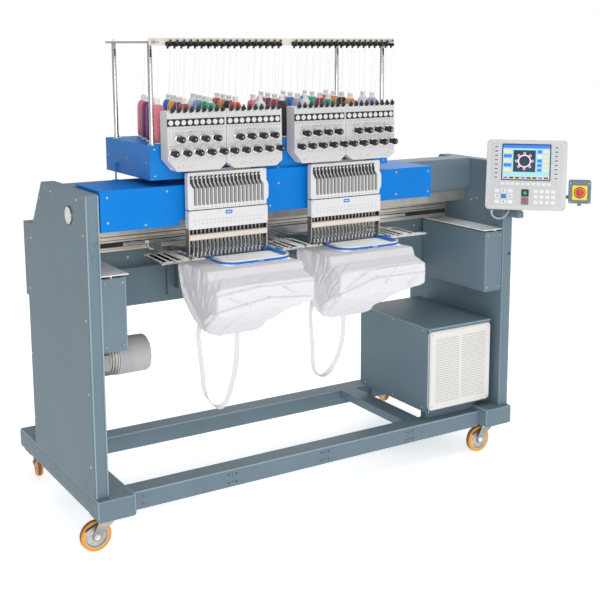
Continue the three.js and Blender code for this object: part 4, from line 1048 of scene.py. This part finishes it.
def motor():
    """The finned motor with its foot and terminal box, and the grooved cowl with a ring grille on its end,
    painted as near-black rings of shade.
    """
    form = Form()
    profile = [(0, 55.6), (60, 55.6), (66, 58)]
    for k in range(11):
        x = 62 + 11.6 * k
        profile += [(67, x), (73.5, x + 0.8), (73.5, x + 4.2), (67, x + 5.0)]
    profile += [(70, 190), (74, 191), (74, 197.4), (0, 197.4)]
    form.lathe("x", MOTOR_AXIS, profile, 0, 48)
    form.box(62, 190, 226, 374, 777, 794.6, 1)
    form.box(70, 182, 262, 338, 757, 783, 1)
    for x in (78, 174):
        for y in (238, 362):
            screw(form, "z", (x, y, 777), 6, 1, 0.5, -1)
    form.box(92, 150, 218, 240, 664, 728, 1)
    make("motor_body", form, [CASTING, SHADE], "frame", 0.6, ["main_motor"])
    cowl = Form()
    cowl.lathe("x", MOTOR_AXIS, [(0, 198.4), (75.5, 198.4), (75.8, 202), (75.8, 326), (72, 333), (64, 336.6),
                                 (0, 336.6)], 0, 48)
    for k in range(COWL_GROOVES):
        x = 212 + 9 * k
        cowl.lathe("x", MOTOR_AXIS, [(75.2, x), (76, x + 0.8), (76, x + 3.2), (75.2, x + 4), (75.2, x)], 1,
                   48)
    # Near-black rings on the cowl's end: painted shade in the grille's openings.
    for ring in COWL_RINGS:
        cowl.ring("x", MOTOR_AXIS, ring, ring + 5, 336, 336.9, 2, 40)
    for k in range(4):
        a = math.radians(45 + 90 * k)
        screw(cowl, "x", (336.4, 300 + 66 * math.cos(a), 696 + 66 * math.sin(a)), 3.4, 3, 0.4, 1)
    make("motor_cowling", cowl, [GREY, SHADE, DARK, ZINC], "frame", 0.5, ["motor_cowl"])


LOUVRES = 28


def grille():
    """The cabinet's front grille: a pale frame with two columns of louvres, and painted shade between them.
    """
    low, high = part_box("cabinet_grille")
    x0, x1 = (low.x - CORNER.x) * 1000, (high.x - CORNER.x) * 1000
    z0, z1 = low.z * 1000, high.z * 1000
    y0 = (low.y - CORNER.y) * 1000
    form = Form()
    form.prism("y", rounded(x0, x1, z0, z1, 18), y0 + 4, y0 + 17.4, 0)
    rim = rounded(x0 + 7, x1 - 7, z0 + 7, z1 - 7, 14)
    form.prism("y", rim, y0 + 1.6, y0 + 5, 0)
    middle = (x0 + x1) / 2
    for a, b in ((x0 + 36, middle - 8), (middle + 8, x1 - 30)):
        pitch = (z1 - z0 - 64) / LOUVRES
        for k in range(LOUVRES):
            z = z0 + 34 + pitch * k
            # A grey strip under each blade: painted shade between the louvres.
            form.box(a, b, y0 + 1.0, y0 + 2.2, z, z + 2.8, 1)
            blade = [(y0 + 0.2, z + 2.2), (y0 + 1.6, z + pitch * 0.9), (y0 + 2.4, z + pitch * 0.9),
                     (y0 + 2.2, z + 1.8)]
            form.prism("x", blade, a, b, 0)
    for px, pz in ((x0 + 16, z0 + 16), (x1 - 16, z0 + 16), (x0 + 16, z1 - 16), (x1 - 16, z1 - 16)):
        screw(form, "y", (px, y0 + 1.9, pz), 4.5, 2)
    make("grille", form, [painted("grille_plate", (0.72, 0.71, 0.68), 0.4, spread=0.03), SLOT_SHADE, ZINC],
         "frame", 0.6,
         ["cabinet_grille"])


# ------------------------------------------------------------------ hoops and bags


def band(form, outer, inner, z0, z1, slot):
    """A closed flat ring between two outlines with the same number of points."""
    n = len(outer)
    verts = [(x, y, z) for z in (z0, z1) for line in (outer, inner) for x, y in line]
    faces = []
    for k in range(n):
        m = (k + 1) % n
        a, b, c, d = k, n + k, 2 * n + k, 3 * n + k
        a2, b2, c2, d2 = m, n + m, 2 * n + m, 3 * n + m
        faces += [(a, a2, c2, c), (b, d, d2, b2), (c, c2, d2, d), (a, b, b2, a2)]
    form.add(verts, faces, slot)


def hoop(index):
    """The blue outer ring with an ivory top band, the inner ring, and the clips that hold them."""
    x, y = HOOP_X + index * PITCH, HOOP_Y
    w, d, r = 315 / 2, 265 / 2, 68

    def line(inset):
        return rounded(x - w + inset, x + w - inset, y - d + inset, y + d - inset, r - inset, 12)

    form = Form()
    band(form, line(0), line(7.2), 1094.2, 1103.2, 0)
    band(form, line(0.5), line(7.6), 1102.8, 1109.0, 1)
    band(form, line(7.0), line(12.9), 1094.2, 1107.5, 0)
    for side in (-1, 1):
        px = x + side * (w + 3)
        form.prism("z", rounded(px - 9, px + 9, 60, 96, 3), 1106.6, 1113, 0)
        screw(form, "z", (px, 70, 1112.4), 4, 2, 0.3, 1)
        screw(form, "z", (px, 86, 1112.4), 4, 2, 0.3, 1)
    form.tube([(x - 12, y - d - 1, 1100), (x + 12, y - d - 1, 1100)], 2.6, 2, 10)
    make(f"hoop_{index + 1}_rings", form, [HOOP_BLUE, IVORY, CHROME], "x_carriage", 0.7,
         [f"hoop_{index + 1}"])


# For each depth of the bag: how far its waist is drawn in, and the height of its bottom and of its top.
BAG_RINGS = [(-196, 4, 952, 1053), (-180, 3, 942, 1060), (-150, 3, 926, 1073), (-110, 5, 906, 1089.5),
             (-55, 12, 878, 1092.2), (0, 34, 848, 1092.6),
             (50, 62, 818, 1092.6), (96, 96, 792, 1092.6), (138, 132, 770, 1092.6)]


SIDE_POINTS = (34, 9, 12, 26, 14, 9)  # points along each side of the bag's outline
RING_COUNT = 38  # rings from the open rear to the front panel


def bag_ring(y, waist, low, high):
    """The bag's outline at one depth, left top corner first, clockwise seen from the front."""
    mid = (low + high) / 2
    corners = [(BAG_LEFT, high), (BAG_RIGHT, high), (BAG_RIGHT, mid), (BAG_RIGHT - waist * 0.4, low + 6),
               (BAG_LEFT + waist + 4, low), (BAG_LEFT + waist * 0.2, mid)]
    points = []
    for i, count in enumerate(SIDE_POINTS):
        a, b = corners[i], corners[(i + 1) % 6]
        for k in range(count):
            t = k / count
            points.append((a[0] + (b[0] - a[0]) * t, a[1] + (b[1] - a[1]) * t))
    for _ in range(3):
        n = len(points)
        points = [((points[k - 1][0] + 2 * points[k][0] + points[(k + 1) % n][0]) / 4,
                   (points[k - 1][1] + 2 * points[k][1] + points[(k + 1) % n][1]) / 4) for k in range(n)]
    return [(px, y, pz) for px, pz in points]


def bag_cloth():
    """The slack bag before it is lofted out: rings from the open rear to the front, then a front panel."""
    depths = [138 - 9 * k for k in range(RING_COUNT - 1)] + [-196]
    rings = []
    for y in depths:
        rows = BAG_RINGS
        for a, b in zip(rows, rows[1:]):
            if a[0] <= y <= b[0]:
                t = (y - a[0]) / (b[0] - a[0])
                s = t * t * (3 - 2 * t) if a[0] < -100 else t
                rings.append(bag_ring(y, *(p + (q - p) * s for p, q in zip(a[1:], b[1:]))))
                break
    last = rings[-1]
    cx = sum(p[0] for p in last) / len(last)
    cz = sum(p[2] for p in last) / len(last)
    for k in range(1, 14):
        t = 1 - k / 14
        belly = -2 * (1 - t)
        rings.append([(cx + (p[0] - cx) * t, -197 + belly, cz + (p[2] - cz) * t) for p in last])
    form = Form()
    n = len(last)
    verts = [p for ring in rings for p in ring] + [(cx, -199, cz)]
    faces = []
    for i in range(len(rings) - 1):
        for k in range(n):
            m = (k + 1) % n
            faces.append((i * n + k, i * n + m, (i + 1) * n + m, (i + 1) * n + k))
    base = (len(rings) - 1) * n
    faces += [(base + k, base + (k + 1) % n, len(verts) - 1) for k in range(n)]
    form.add(verts, faces)
    return form


DRAPE_FRAMES = 20
LONGEST_STEP = 0.020  # metres that the drape may move a point


def drape(cloth):
    """Lets the cloth settle, held at the hoop and at its rear hem."""
    rest = [v.co.copy() for v in cloth.data.vertices]
    pins = cloth.vertex_groups.new(name="held")
    for v in cloth.data.vertices:
        spot = machine(v.co)
        top = spot.z > 1089.5
        if top and abs(spot.x - HOOP_X) < 160 and -48 < spot.y < 220:
            pins.add([v.index], 1.0, "REPLACE")
        elif spot.y > 131:
            pins.add([v.index], 1.0, "REPLACE")
        elif top:
            pins.add([v.index], 0.35, "REPLACE")
    sim = cloth.modifiers.new("cloth", "CLOTH")
    sim.settings.quality = 5
    sim.settings.mass = 0.25
    sim.settings.tension_stiffness = 18
    sim.settings.compression_stiffness = 12
    sim.settings.bending_stiffness = 0.35
    sim.settings.shrink_min = -0.05
    sim.settings.vertex_group_mass = "held"
    sim.settings.use_pressure = True
    sim.settings.uniform_pressure_force = 0.6
    sim.settings.effector_weights.gravity = 0.35
    sim.point_cache.frame_start = 1
    sim.point_cache.frame_end = 24
    for number in range(1, DRAPE_FRAMES + 1):
        bpy.context.scene.frame_set(number)
    shape = cloth.evaluated_get(bpy.context.evaluated_depsgraph_get()).to_mesh()
    moved = [v.co.copy() for v in shape.vertices]
    cloth.modifiers.clear()
    cloth.vertex_groups.clear()
    for v, before, after in zip(cloth.data.vertices, rest, moved):
        step = after - before
        if step.length > LONGEST_STEP:
            step = step.normalized() * LONGEST_STEP
        v.co = before + step
    bpy.context.scene.frame_set(1)


# Each crease: its two ends, its width and its depth.
CREASES = [
    [((414, -200, 1018), (600, -202, 1034), 9, 5), ((600, -202, 1034), (854, -200, 1030), 8, 4),
     ((430, -196, 1052), (560, -190, 1070), 9, 4), ((560, -190, 1070), (700, -150, 1086), 9, 3.5),
     ((416, -198, 955), (640, -202, 985), 8, 5), ((640, -202, 985), (830, -200, 968), 7, 4),
     ((420, -190, 1050), (520, -60, 1090), 10, 4), ((424, -196, 1040), (470, -120, 1088), 8, 4),
     ((850, -196, 1046), (790, -110, 1088), 9, 4), ((470, -202, 1004), (560, -202, 962), 7, 3),
     ((700, -202, 1026), (760, -202, 990), 7, 3), ((410, -150, 1060), (410, -90, 960), 9, 5),
     ((410, -90, 1060), (412, -40, 930), 9, 5), ((410, -40, 1070), (416, 20, 900), 10, 5),
     ((410, -170, 1010), (430, -100, 930), 8, 5), ((410, 20, 1060), (440, 90, 850), 10, 5),
     ((430, -150, 930), (480, 40, 840), 9, 5), ((540, -180, 944), (560, 60, 820), 9, 4),
     ((700, -180, 944), (650, 60, 820), 9, 4), ((480, -120, 915), (600, -20, 870), 9, 4)],
    [((416, -198, 960), (560, -202, 1040), 9, 5), ((560, -202, 1040), (854, -200, 1046), 8, 4),
     ((420, -200, 956), (600, -202, 1004), 8, 5), ((600, -202, 1004), (854, -200, 1000), 8, 4),
     ((424, -190, 1054), (540, -100, 1088), 10, 4), ((850, -196, 1050), (770, -70, 1090), 9, 4),
     ((700, -202, 1040), (640, -202, 975), 7, 3), ((820, -202, 996), (760, -202, 960), 7, 3),
     ((410, -160, 1066), (412, -60, 980), 9, 5), ((410, -100, 1070), (420, 30, 900), 10, 6),
     ((410, -180, 1010), (440, -60, 900), 9, 6), ((410, -30, 1060), (450, 100, 840), 10, 5),
     ((440, -140, 925), (520, 60, 820), 9, 5), ((620, -180, 940), (600, 60, 820), 9, 4),
     ((760, -180, 950), (680, 60, 830), 9, 4)],
]


def crease(cloth, index):
    """Presses folds into the cloth along short lines: a valley with a raised shoulder on each side."""
    lines = [(Vector(a), Vector(b), width, depth) for a, b, width, depth in CREASES[index]]
    cloth.data.update()
    normals = [v.normal.copy() for v in cloth.data.vertices]
    for v, normal in zip(cloth.data.vertices, normals):
        spot = machine(v.co) - Vector((index * PITCH, 0, 0))
        if spot.z > 1088 or spot.y > 125:
            continue
        push = 0.0
        for a, b, width, depth in lines:
            run = b - a
            t = min(max((spot - a).dot(run) / run.length_squared, 0), 1)
            off = spot - a - run * t
            above = off.dot(normal)
            r = (off - normal * above).length / (0.72 * width)
            if r < 3.5 and abs(above) < 30:
                push += 1.5 * depth * (1 - 1.1 * r * r) * math.exp(-0.8 * r * r)
        outward = 1 if normal.dot(v.co - at(BAG_MIDDLE + index * PITCH, -20, 980)) > 0 else -1
        v.co -= normal * outward * push / 1000


def bags():
    """Both bags: one cloth is draped, copied, and each copy gets creases, seams and a handle of its own."""
    first = make("bag_1_cloth", bag_cloth(), [COTTON, HOOPED_PAINTED_LIGHT], None, 0, (), 180)
    drape(first)
    first.modifiers.new("smooth", "SUBSURF").levels = 1
    fine = bpy.data.meshes.new_from_object(first.evaluated_get(bpy.context.evaluated_depsgraph_get()))
    first.modifiers.clear()
    first.data = fine
    # The field inside the hoop takes the brighter glowing cotton: painted light where the head shades it.
    for face in first.data.polygons:
        spot = machine(face.center)
        if spot.z > 1088 and abs(spot.x - HOOP_X) < 152 and abs(spot.y - HOOP_Y) < 127:
            face.material_index = 1
    second = bpy.data.objects.new("bag_2_cloth", first.data.copy())
    bpy.context.scene.collection.objects.link(second)
    for v in second.data.vertices:
        v.co.x += PITCH / 1000
    for index, cloth in enumerate((first, second)):
        settle(cloth, index)
        crease(cloth, index)
        keep_clear(cloth, index)
        wall = cloth.modifiers.new("wall", "SOLIDIFY")
        wall.thickness = 0.0014
        wall.offset = 0
        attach(cloth, "x_carriage")
        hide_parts(f"bag_{index + 1}")
        seams(cloth, index)
        straps(index)


def settle(cloth, index):
    """Brings the front panel out to the cut of the bag, and flattens what bulges past its sides."""
    shift = Vector((index * PITCH, 0, 0))
    for v in cloth.data.vertices:
        spot = machine(v.co) - shift
        forward = min(max((-100 - spot.y) / 80, 0), 1)
        spot.y -= 17 * forward * forward
        if spot.x < BAG_LEFT:
            spot.x = BAG_LEFT + (spot.x - BAG_LEFT) * 0.25
        if spot.x > BAG_RIGHT:
            spot.x = BAG_RIGHT + (spot.x - BAG_RIGHT) * 0.25
        v.co = at(*(spot + shift))


def keep_clear(cloth, index):
    """Keeps the cloth under the hoop, inside the bag's room, and clear of the arm as the hoop travels."""
    shift = Vector((index * PITCH, 0, 0))
    for v in cloth.data.vertices:
        spot = machine(v.co) - shift
        spot.x = min(max(spot.x, 405), 861)
        spot.y = max(spot.y, -209)
        spot.z = min(spot.z, 1093.2)
        behind_front = min(max((spot.y + 128) / 22, 0), 1)
        over_arm = spot.z > 1052 and 424 < spot.x < 846
        if over_arm and behind_front > 0:
            spot.z = max(spot.z, 1089.8 * behind_front + spot.z * (1 - behind_front))
        elif behind_front > 0 and spot.z > 985:
            spot.x = min(spot.x, 436) if spot.x < BAG_MIDDLE else max(spot.x, 842)
        v.co = at(*(spot + shift))


def seams(cloth, index):
    """Sewn edges round the front panel and up its corners, and the doubled hem of the open rear."""
    points = [machine(v.co) for v in cloth.data.vertices]
    count, last = sum(SIDE_POINTS), RING_COUNT - 1
    form = Form()
    for ring, radius in ((last - 1, 1.3), (0, 1.9), (2, 0.9)):
        form.tube([points[ring * count + k % count] for k in range(count + 1)], radius, 0, 6)
    for column in (1, 34, 55, 82):
        form.tube([points[ring * count + column] for ring in range(0, last)], 1.0, 0, 6)
    return make(f"bag_{index + 1}_seams", form, [COTTON], "x_carriage", 0, (), 60)


STRAP_WIDTH = 23
# The course of each bag's handle, down from the hem and up again.
STRAPS = [
    [(514, 137, 838), (501, 138, 780), (506, 138, 716), (515, 138, 620), (520, 137, 552), (536, 136, 506),
     (566, 134, 466), (602, 134, 460),
     (628, 136, 488), (649, 138, 540), (668, 138, 616), (677, 138, 694), (677, 136, 800)],
    [(497, 137, 850), (486, 138, 792), (490, 138, 720), (495, 138, 650), (500, 138, 556), (519, 136, 518),
     (549, 134, 506), (588, 134, 530),
     (626, 136, 584), (648, 138, 640), (655, 138, 690), (657, 138, 746), (655, 136, 812)],
]


def straps(index):
    """The bag's handle: flat sewn tape hanging in a loop from the lower hem."""
    form = Form()
    path = smooth_line([(x + index * PITCH, y, z) for x, y, z in STRAPS[index]], 5)
    tape(form, path, STRAP_WIDTH / 2, 0.9)
    strap = make(f"bag_{index + 1}_strap", form, [COTTON], "x_carriage", 0.3, (), 50)


def smooth_line(points, steps):
    """A Catmull-Rom line through points."""
    path = [Vector(p) for p in points]
    path = [path[0] * 2 - path[1]] + path + [path[-1] * 2 - path[-2]]
    line = []
    for a, b, c, d in zip(path, path[1:], path[2:], path[3:]):
        for k in range(steps):
            t = k / steps
            bend, twist = 2 * a - 5 * b + 4 * c - d, 3 * b - a - 3 * c + d
            line.append(0.5 * (2 * b + (c - a) * t + bend * t * t + twist * t ** 3))
    line.append(path[-2])
    return line


def tape(form, path, half, thick):
    """A flat band that faces the front at its sewn ends and turns edge-on where it bends at the bottom."""
    verts = []
    for i, p in enumerate(path):
        ahead = (path[min(i + 1, len(path) - 1)] - path[max(i - 1, 0)]).normalized()
        t = i / (len(path) - 1)
        turn = math.radians(88) * math.exp(-((t - 0.48) / 0.11) ** 2) + math.radians(14) * math.sin(9 * t)
        face = ahead.cross(Vector((0, 1, 0))).normalized()
        wide = face * math.cos(turn) + Vector((0, 1, 0)) * math.sin(turn)
        wide = (wide - ahead * wide.dot(ahead)).normalized()
        out = ahead.cross(wide)
        for a, b in ((-half, -thick), (half, -thick), (half, thick), (-half, thick)):
            verts.append(p + wide * a + out * b)
    faces = [(0, 1, 2, 3), tuple(len(verts) - 4 + k for k in (3, 2, 1, 0))]
    for i in range(len(path) - 1):
        for k in range(4):
            m = (k + 1) % 4
            faces.append((i * 4 + k, i * 4 + m, i * 4 + 4 + m, i * 4 + 4 + k))
    form.add(verts, faces)


# ------------------------------------------------------------------ control panel

AZIMUTH = math.radians(45)  # the way that the panel faces, round from the front
TILT = math.radians(14)
PANEL_AT = (2049, -98, 1356)  # the middle of the panel's face
PIVOT = (2066, -34, 0)  # the post that the panel's arm swivels on


def frame_of(origin, tilt):
    """The turned axes of the panel and its arm."""
    turn = Matrix.Rotation(-AZIMUTH, 4, "Z") @ Matrix.Rotation(-tilt, 4, "X")
    return Matrix.Translation(origin) @ turn


def key(form, x, z, wide, high, radius=2.5, out=-1.6, slot=3):
    """A flat key on the panel's face; wide and high are half its sizes."""
    form.prism("y", rounded(x - wide, x + wide, z - high, z + high, radius), out, 0.4, slot)


def panel():
    """Housing, screen and keys; x across the face, y into it, z up."""
    form = Form(frame_of(PANEL_AT, TILT))
    w, h = 181.5, 161.5
    form.prism("y", rounded(-w + 1, w - 1, -h + 1, h - 1, 17, 8), 6, 26, 0)
    form.prism("y", rounded(-140, 140, -118, 20, 12, 8), 25.5, 36, 0)
    form.prism("y", rounded(-w + 3, w - 3, -h + 3, h - 3, 14, 8), 0.6, 7, 0)
    form.prism("y", rounded(-w + 20, w - 20, -h + 18, h - 16, 8), 0, 1.0, 1)
    form.box(-34.5, 34.5, 35, 64.2, -58.2, -41.8, 0)
    # Black strips for the vents on the housing's back: painted shade in the openings.
    for k in range(9):
        form.prism("y", rounded(-120 + 30 * k, -106 + 30 * k, 60, 110, 5), 25.5, 26.4, 2)
    for px in (-158, 158):
        for pz in (-130, 130):
            screw(form, "y", (px, 26, pz), 4, 6, 0.3, 1)
    form.prism("y", rounded(-112, 109, -27, 141, 4), -0.6, 1, 2)
    screen_design(form)
    for k in range(8):
        z = 126 - 20.2 * k
        for x in (-136, 133):
            key(form, x, z, 11, 6.5)
            form.prism("y", rounded(x - 8, x + 8, z - 3.5, z + 3.5, 1.5), -2.0, -1, 4)
    for k in range(10):
        key(form, -106 + 23.2 * k, -43, 8.5, 6)
    for i in range(3):
        for j in range(3):
            x, z = -128 + 30 * i, -76 - 25 * j
            key(form, x, z, 11, 9, 3, slot=5 if (i, j) == (1, 1) else 3)
            if (i + j) % 2:
                arrow = {(1, 0): 90, (0, 1): 180, (2, 1): 0, (1, 2): -90}[(i, j)]
                tip = [(x + 5 * math.cos(math.radians(arrow + t)),
                        z + 5 * math.sin(math.radians(arrow + t))) for t in (0, 130, 230)]
                form.prism("y", tip, -2.2, -1.4, 2)
    for i in range(4):
        for j in range(3):
            key(form, 46 + 26 * i, -76 - 25 * j, 9, 8)
    key(form, -2, -84, 17, 17, 4, -1.2, 2)
    key(form, -2, -121, 17, 17, 4, -1.2, 4)
    for px, pz in ((-w + 12, h - 12), (w - 12, h - 12), (-w + 12, 12 - h), (w - 12, 12 - h)):
        screw(form, "y", (px, 0.8, pz), 3.4, 6)
    sheet = painted("key_sheet", (0.56, 0.56, 0.57), 0.35, spread=0.03)
    pale = painted("key_pale", (0.74, 0.76, 0.78), 0.35, spread=0.03)
    mark = painted("key_mark", (0.16, 0.18, 0.20), 0.4)
    paints = [PANEL, sheet, BLACK, pale, mark, HOOP_BLUE, ZINC] + SCREEN
    make("panel_face", form, paints, "panel", 0.5, ["panel_housing"])
    for name, paint, z in (("start", GREEN, -84), ("stop", RED, -121)):
        cap = Form(frame_of(PANEL_AT, TILT))
        cap.lathe("y", (-2, 0, z), [(0, -3.4), (4, -3.9), (7, -3.4), (7.9, -1.6), (7.9, 7), (10.8, 7.2),
                                    (10.8, 9.8), (0, 9.8)], 0, 28)
        make(f"{name}_cap", cap, [paint], name, 0.3, [f"{name}_button"])


def lit(name, color, rough=0.18, glow=None, power=0.0):
    """A part of the working screen; the glow is its own light."""
    light = {"Emission_Color": (*glow, 1), "Emission_Strength": power} if glow else {}
    return painted(name, color, rough, grain=100, strength=0.0, **light)


SCREEN = [
    lit("screen_field", (0.30, 0.55, 0.60), 0.18, (0.3, 0.6, 0.66), 0.35),
    lit("screen_bar", (0.03, 0.16, 0.62), 0.18, (0.03, 0.2, 0.8), 0.4),
    lit("screen_dark", (0.02, 0.05, 0.09), 0.15),
    lit("screen_line", (0.75, 0.62, 0.66), 0.2, (0.8, 0.6, 0.65), 0.3),
    lit("screen_sand", (0.70, 0.60, 0.42), 0.2, (0.8, 0.7, 0.5), 0.2),
]


def screen_design(form):
    """A generic working screen: title bar, drawing window with a ring design, rows of small tiles."""
    field, bar, dark, line, sand = range(7, 12)
    form.box(-107, 104, -0.9, 0.2, -22, 136, field)
    form.box(-107, 104, -1.2, 0, 121, 136, bar)
    form.box(-60, 40, -1.3, 0, 12, 112, dark)
    form.ring("y", (-10, 0, 62), 24, 30, -1.7, -0.9, line, 32)
    for k in range(8):
        a = math.radians(45 * k)
        x, z = -10 + 36 * math.cos(a), 62 + 36 * math.sin(a)
        form.ring("y", (x, 0, z), 3, 6, -1.7, -0.9, line, 16)
    form.box(-107, 104, -1.2, 0, -22, -8, sand)
    for k in range(5):
        form.box(-103, -68, -1.3, 0, 98 - 21 * k, 113 - 21 * k, bar if k % 2 else sand)
        form.box(48, 68, -1.3, 0, 98 - 21 * k, 113 - 21 * k, line if k == 1 else bar)
        form.box(74, 98, -1.3, 0, 98 - 21 * k, 113 - 21 * k, sand)
    for k in range(8):
        form.box(-102 + 26 * k, -82 + 26 * k, -1.5, 0, -19, -11, dark if k % 3 else bar)


def cable():
    """The panel's cable: one fixed tube along its route, not attached to the tilting housing or to the
    bracket.
    """
    turn = frame_of(PIVOT, 0)
    route = [(-118, -76, 1192.6), (-118, -76, 1180), (-110, -70, 1162), (-86, -58, 1150), (-60, -42, 1158),
             (-42, -26, 1184),
             (-34, -14, 1222), (-26, -7, 1245), (-19, -6, 1248), (-12.8, -6, 1248)]
    form = Form(turn)
    form.tube(smooth_line(route, 6), 4, 0, 12)
    form.lathe("z", (-118, -76, 1192.6), [(0, 0), (7.5, 0), (7.5, -5), (6, -7), (5, -16), (0, -16)], 0, 16)
    made = make("panel_lead", form, [GREY], None, 0, ["panel_cable"])
    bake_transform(made)


def switch():
    """The yellow plate and red grip of the main switch, on its box at the end of the panel's arm."""
    turn = frame_of(PIVOT, 0)
    x, y, z = 274.234, -58.276, 1280
    form = Form(turn)
    form.prism("y", rounded(x - 33, x + 33, z - 33, z + 33, 5), y - 3.0, y + 0.2, 1)
    form.ring("y", (x, y, z), 22, 26, -3.4, -2.6, 2, 36)
    for px in (x - 42, x + 42):
        for pz in (z - 42, z + 42):
            screw(form, "y", (px, y, pz), 4, 3)
    make("switch_plate", form, [SLATE, YELLOW, BLACK, ZINC], "panel_arm", 0.3, ())
    soften("switch_box", [SLATE], 2.0, body="panel_arm")
    grip = Form(turn)
    grip.lathe("y", (x, y, z), [(0, -8), (18.8, -8), (18.8, -4), (16, -2.6), (11.5, -2.6), (11.5, 3.6),
                                (0, 3.6)], 0, 32)
    grip.prism("y", rounded(x - 6, x + 6, z - 19, z + 19, 5), y - 22.6, y - 7, 0)
    grip.box(x - 0.9, x + 0.9, y - 22.9, y - 21, z + 5, z + 17, 1)
    make("switch_grip", grip, [RED, SHADE], "knob", 0.8, ["switch_knob"])
    soften("panel_bracket", [SLATE], 1.2, body="panel_arm")


def main():
    """Builds the whole machine."""
    studio()
    for name, (x, y, turn) in CASTORS.items():
        castor(name, x, y, turn)
    for index in HEADS:
        needle_case(index)
        needle_row(index)
        tension_unit(index)
        hoop(index)
    base()
    beam()
    towers()
    bed()
    for index in HEADS:
        arms(index)
        hook(index)
    side_boxes()
    covers()
    thread_box()
    cabinet()
    carriage()
    motor()
    grille()
    cones()
    strands()
    rack_guides()
    rack()
    panel()
    cable()
    switch()
    bags()


main()
